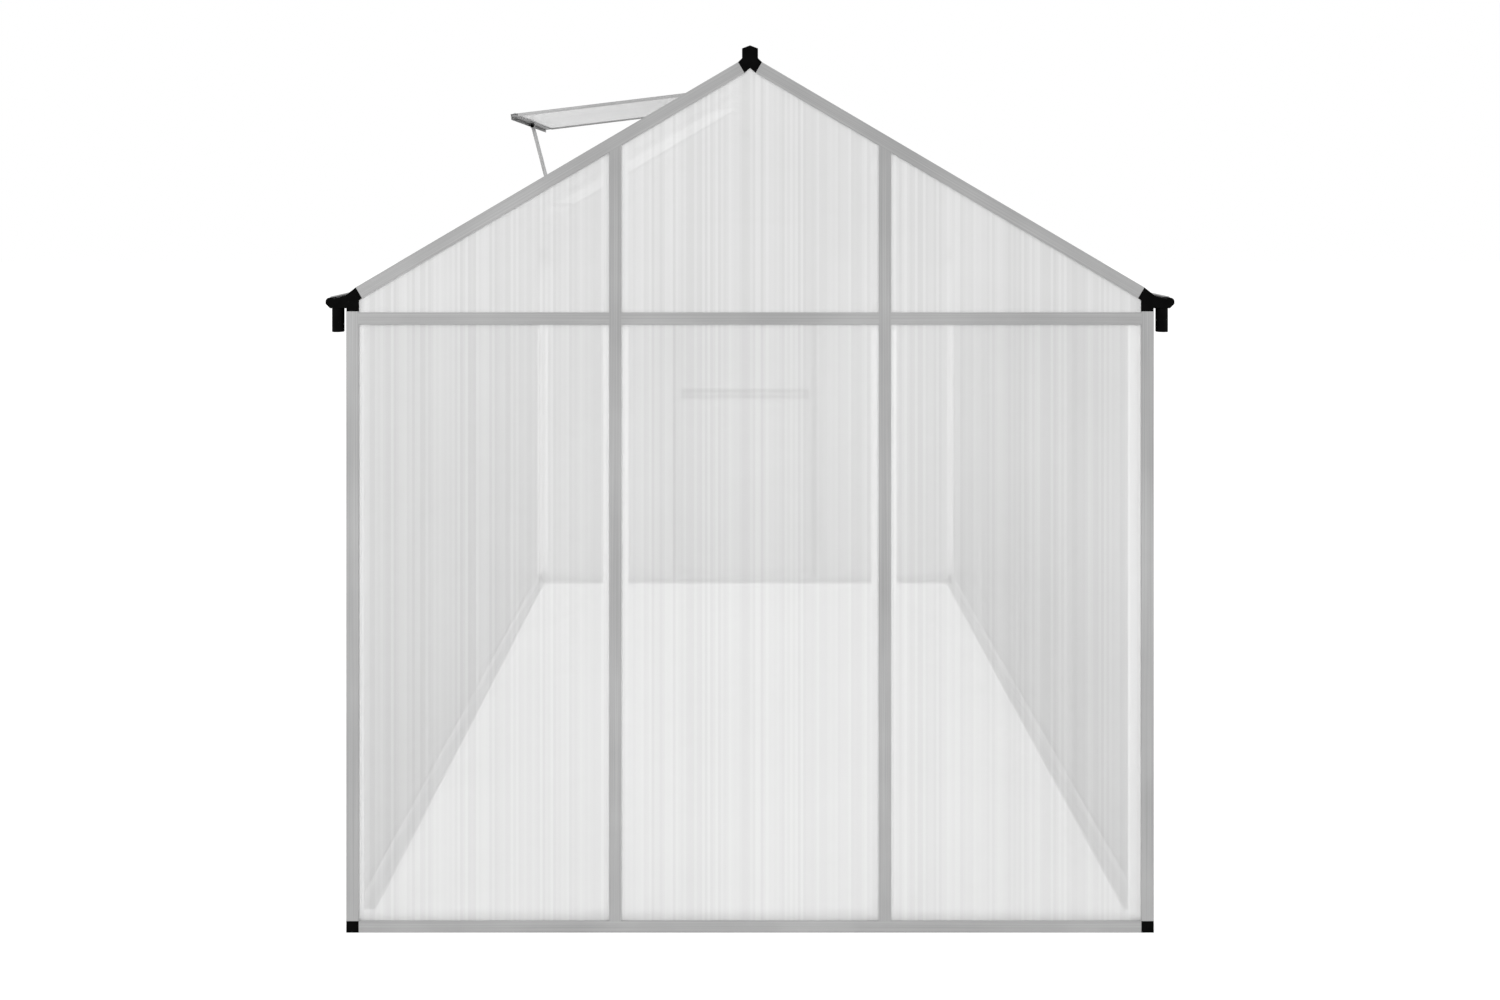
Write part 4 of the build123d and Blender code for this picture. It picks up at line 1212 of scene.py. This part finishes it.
@dataclass
class RoofVent:
    """The vent on the left slope: frame, sheet, sill and stay, with screws and a black knob."""

    side_play: float = 2.0 * MM
    half_face: float = 13.5 * MM
    bay_number: int = 2
    corner_inset: float = 10.0 * MM
    hinge_inset: float = 15.0 * MM
    stay_depth: float = 14.0 * MM
    stay_inset: float = 9.0 * MM
    stay_half: float = 1.7 * MM
    bars: dict[str, MillAluminium] = field(
        default_factory=lambda: {
            "vent_sill": MillAluminium(Run.Y, Skin.SLOPE),
            "vent_side_bars": MillAluminium(Run.VENT, Skin.VENT, Cover.OPEN),
            "vent_edge_bar": UNDER_SHADE,
            "vent_hinge_bar": MillAluminium(Run.Y, Skin.VENT, Cover.OPEN),
            "vent_stay": MillAluminium(Run.Z, Skin.GABLE, Cover.OPEN),
        }
    )

    def opening(self) -> tuple[float, float]:
        """Works out where the vent's sides lie.

        Returns:
            Their distances along the left slope from the front gable.
        """
        places = WallFrame().stud_places()
        first = places[self.bay_number - 1] + self.half_face + self.side_play
        last = places[self.bay_number] - self.half_face - self.side_play
        return first, last

    def face(self) -> Face:
        """Works out the vent's own plane.

        Returns:
            The plane, from the vent's free edge up to its hinge line.
        """
        up = Vector((LEAN_COS, 0.0, LEAN_SIN))
        free_edge = VENT_HINGE - up * VENT_LENGTH
        origin = Vector((free_edge.x, FRONT_Y - self.opening()[0], free_edge.z))
        return Face(origin, -Y_WAY, up)

    def build(self) -> None:
        """Dresses the vent and adds its sheet's ribs, corner screws and stay knob."""
        for node, finish in self.bars.items():
            dress(node, finish.material())
        dress("stay_brackets", ZincPlatedSteel().material())
        face = self.face()
        dress("vent_sheet", VENT_SHEET.material())
        Glazing().add_ribs("vent_sheet", face, PAINTED_PALER_RIB)
        first, last = self.opening()
        width = last - first
        screws = FastenerSet("vent_corner_screws", DOME_SCREW)
        for along in (self.corner_inset, width - self.corner_inset):
            for up in (self.corner_inset, VENT_LENGTH - self.hinge_inset):
                screws.places.append(face.turned(along, 0.0, up))
        screws.add(ZincPlatedSteel(), SlotName.STEEL)
        knob = FastenerSet("stay_knob", KNOB)
        along = width / 2 + self.stay_half
        place = face.at(along, self.stay_depth, self.stay_inset)
        knob.places.append(Matrix.Translation(place) @ Matrix.Rotation(math.radians(90), 4, "X"))
        knob.add(MouldedPolypropylene(), SlotName.MOULDING)


@dataclass
class SlidingDoor:
    """The door outside the front gable, with its track, guide, rollers and handle."""

    width: float = 620.0 * MM
    foot: float = 8.0 * MM
    middle: float = 815.0 * MM
    top: float = EAVES + 154.0 * MM
    half_tube: float = 7.0 * MM
    bars: dict[str, tuple[Run, Skin]] = field(
        default_factory=lambda: {
            "door_stiles": (Run.Z, Skin.DOOR),
            "door_rails": (Run.X, Skin.DOOR),
            "door_track": (Run.X, Skin.DOOR),
            "door_guide": (Run.X, Skin.DOOR),
        }
    )

    def build(self) -> None:
        """Dresses the door and adds the screws at its corners."""
        for node, (run, skin) in self.bars.items():
            # The door's inner skin gets the dimmest painted light
            finish = MillAluminium(run, skin, Cover.DOOR, grade="shaded", painted_light_skin=SHADED_DOOR_SKIN)
            dress(node, finish.material())
        for node in ("door_rollers", "door_handle"):
            dress(node, MouldedPolypropylene().material())
        screws = FastenerSet("door_corner_screws", DOME_SCREW)
        for side in (-1, 1):
            along = WIDTH / 2 + side * (self.width / 2 - self.half_tube)
            for up in (self.foot + self.half_tube, self.middle, self.top - self.half_tube):
                screws.places.append(DOOR.turned(along, 0.0, up))
        screws.add(ZincPlatedSteel(), SlotName.STEEL)


def seen_directly(tree: bpy.types.NodeTree) -> bpy.types.NodeSocket:
    """Gives 1 for rays that show the surround itself: the camera's, and mirrored ones.

    Args:
        tree: The node tree that gets the nodes.

    Returns:
        The output socket.
    """
    path = add_node(tree, "LightPath")
    any_of = path.outputs["Is Camera Ray"]
    for ray in ("Is Glossy Ray", "Is Transmission Ray"):
        pair = {0: any_of, 1: path.outputs[ray]}
        any_of = add_node(tree, "Math", {"operation": "MAXIMUM"}, pair).outputs[0]
    return any_of


@dataclass(frozen=True)
class WhiteGround(Finish):
    """Smooth white paper, coated matt: it keeps shadows and glows a little where it is seen."""

    colour: str
    glow: float
    name: str = "white_ground"

    def surface(self, tree: bpy.types.NodeTree) -> bpy.types.NodeSocket:
        """Adds the ground's nodes.

        Args:
            tree: The material's node tree.

        Returns:
            The output socket of its shader.
        """
        diffuse = add_node(tree, "BsdfDiffuse", inputs={"Color": linear(self.colour)})
        glow = add_node(tree, "MapRange", inputs={0: seen_directly(tree), 3: 0.0, 4: self.glow})
        light = add_node(
            tree, "Emission", inputs={"Color": linear("#FFFFFF"), "Strength": glow.outputs[0]}
        )
        both = add_node(tree, "AddShader", inputs={0: diffuse.outputs[0], 1: light.outputs[0]})
        return both.outputs[0]


@dataclass
class Studio:
    """A white ground and a white surround, lit softly from the front left."""

    white: str = "#E6E6E6"
    ambient: float = 0.75
    ground_glow: float = 0.5
    ground_size: float = 60.0
    ground_gap: float = 0.5 * MM
    camera_place: tuple[float, float, float] = (-0.0226, -3.978, 1.641)
    lens_mm: float = 28.7
    sensor_mm: float = 36.0
    frame_width: float = 1500.0
    frame_middle: tuple[float, float] = (750.0, 500.0)
    # Where the photograph's level lines of sight meet, in its pixels
    vanishing_point: tuple[float, float] = (740.0, 204.5)
    # Each lamp's name, place, power in watts and size
    lamps: tuple = (
        ("key", (-5.0, -6.0, 5.5), 280.0, 4.0),
        ("fill", (6.0, -4.0, 4.0), 160.0, 4.0),
    )
    lamp_aim: tuple[float, float, float] = (0.0, 0.0, 1.0)
    bounces: int = 8
    diffuse_bounces: int = 4
    glossy_bounces: int = 3
    # A line of sight can cross both skins and the ribs of several sheets
    transparent_bounces: int = 14

    def build_camera(self) -> None:
        """Puts the camera level before the gable, with the photograph's framing."""
        data = bpy.data.cameras.new("camera")
        data.lens = self.lens_mm
        data.sensor_width = self.sensor_mm
        data.shift_x = (self.frame_middle[0] - self.vanishing_point[0]) / self.frame_width
        data.shift_y = (self.vanishing_point[1] - self.frame_middle[1]) / self.frame_width
        camera = bpy.data.objects.new("camera", data)
        camera.location = self.camera_place
        camera.rotation_euler = (math.radians(90), 0, 0)
        bpy.context.scene.collection.objects.link(camera)
        bpy.context.scene.camera = camera

    def build_world(self) -> None:
        """Surrounds the object with soft light, seen as white."""
        world = bpy.data.worlds.new("surround")
        bpy.context.scene.world = world
        world.use_nodes = True
        tree = world.node_tree
        tree.nodes.clear()
        strength = add_node(
            tree, "MapRange", inputs={0: seen_directly(tree), 3: self.ambient, 4: 1.0}
        )
        background = add_node(
            tree,
            "Background",
            inputs={"Color": linear("#FFFFFF"), "Strength": strength.outputs[0]},
        )
        add_node(tree, "OutputWorld", inputs={0: background.outputs[0]})

    def build_ground(self) -> None:
        """Lays a white ground that keeps the object's shadow."""
        half = self.ground_size / 2
        mesh = bpy.data.meshes.new("ground")
        mesh.from_pydata(
            [(-half, -half, 0), (half, -half, 0), (half, half, 0), (-half, half, 0)],
            [],
            [(0, 1, 2, 3)],
        )
        ground = bpy.data.objects.new("ground", mesh)
        ground.location.z = cad_box[0].z - self.ground_gap
        bpy.context.scene.collection.objects.link(ground)
        mesh.materials.append(WhiteGround(self.white, self.ground_glow).material())

    def build_lamps(self) -> None:
        """Adds one broad soft lamp at the front left and a weaker one at the right."""
        for name, place, power, size in self.lamps:
            data = bpy.data.lights.new(name, "AREA")
            data.energy = power
            data.size = size
            lamp = bpy.data.objects.new(name, data)
            lamp.location = place
            aim = Vector(self.lamp_aim) - Vector(place)
            lamp.rotation_euler = aim.to_track_quat("-Z", "Y").to_euler()
            bpy.context.scene.collection.objects.link(lamp)

    def build(self) -> None:
        """Builds the whole studio."""
        self.build_camera()
        self.build_world()
        self.build_ground()
        self.build_lamps()
        scene = bpy.context.scene
        scene.view_settings.view_transform = "Standard"
        scene.cycles.transparent_max_bounces = self.transparent_bounces
        scene.cycles.max_bounces = self.bounces
        scene.cycles.diffuse_bounces = self.diffuse_bounces
        scene.cycles.glossy_bounces = self.glossy_bounces
        log.info("built the studio")


def main() -> None:
    """Builds the greenhouse's looks and the studio."""
    for assembly in (WallFrame(), RoofFrame(), RoofVent(), SlidingDoor(), Glazing(), Studio()):
        assembly.build()


if __name__ == "__main__":
    logging.basicConfig(level=logging.INFO, format="%(message)s")
    main()
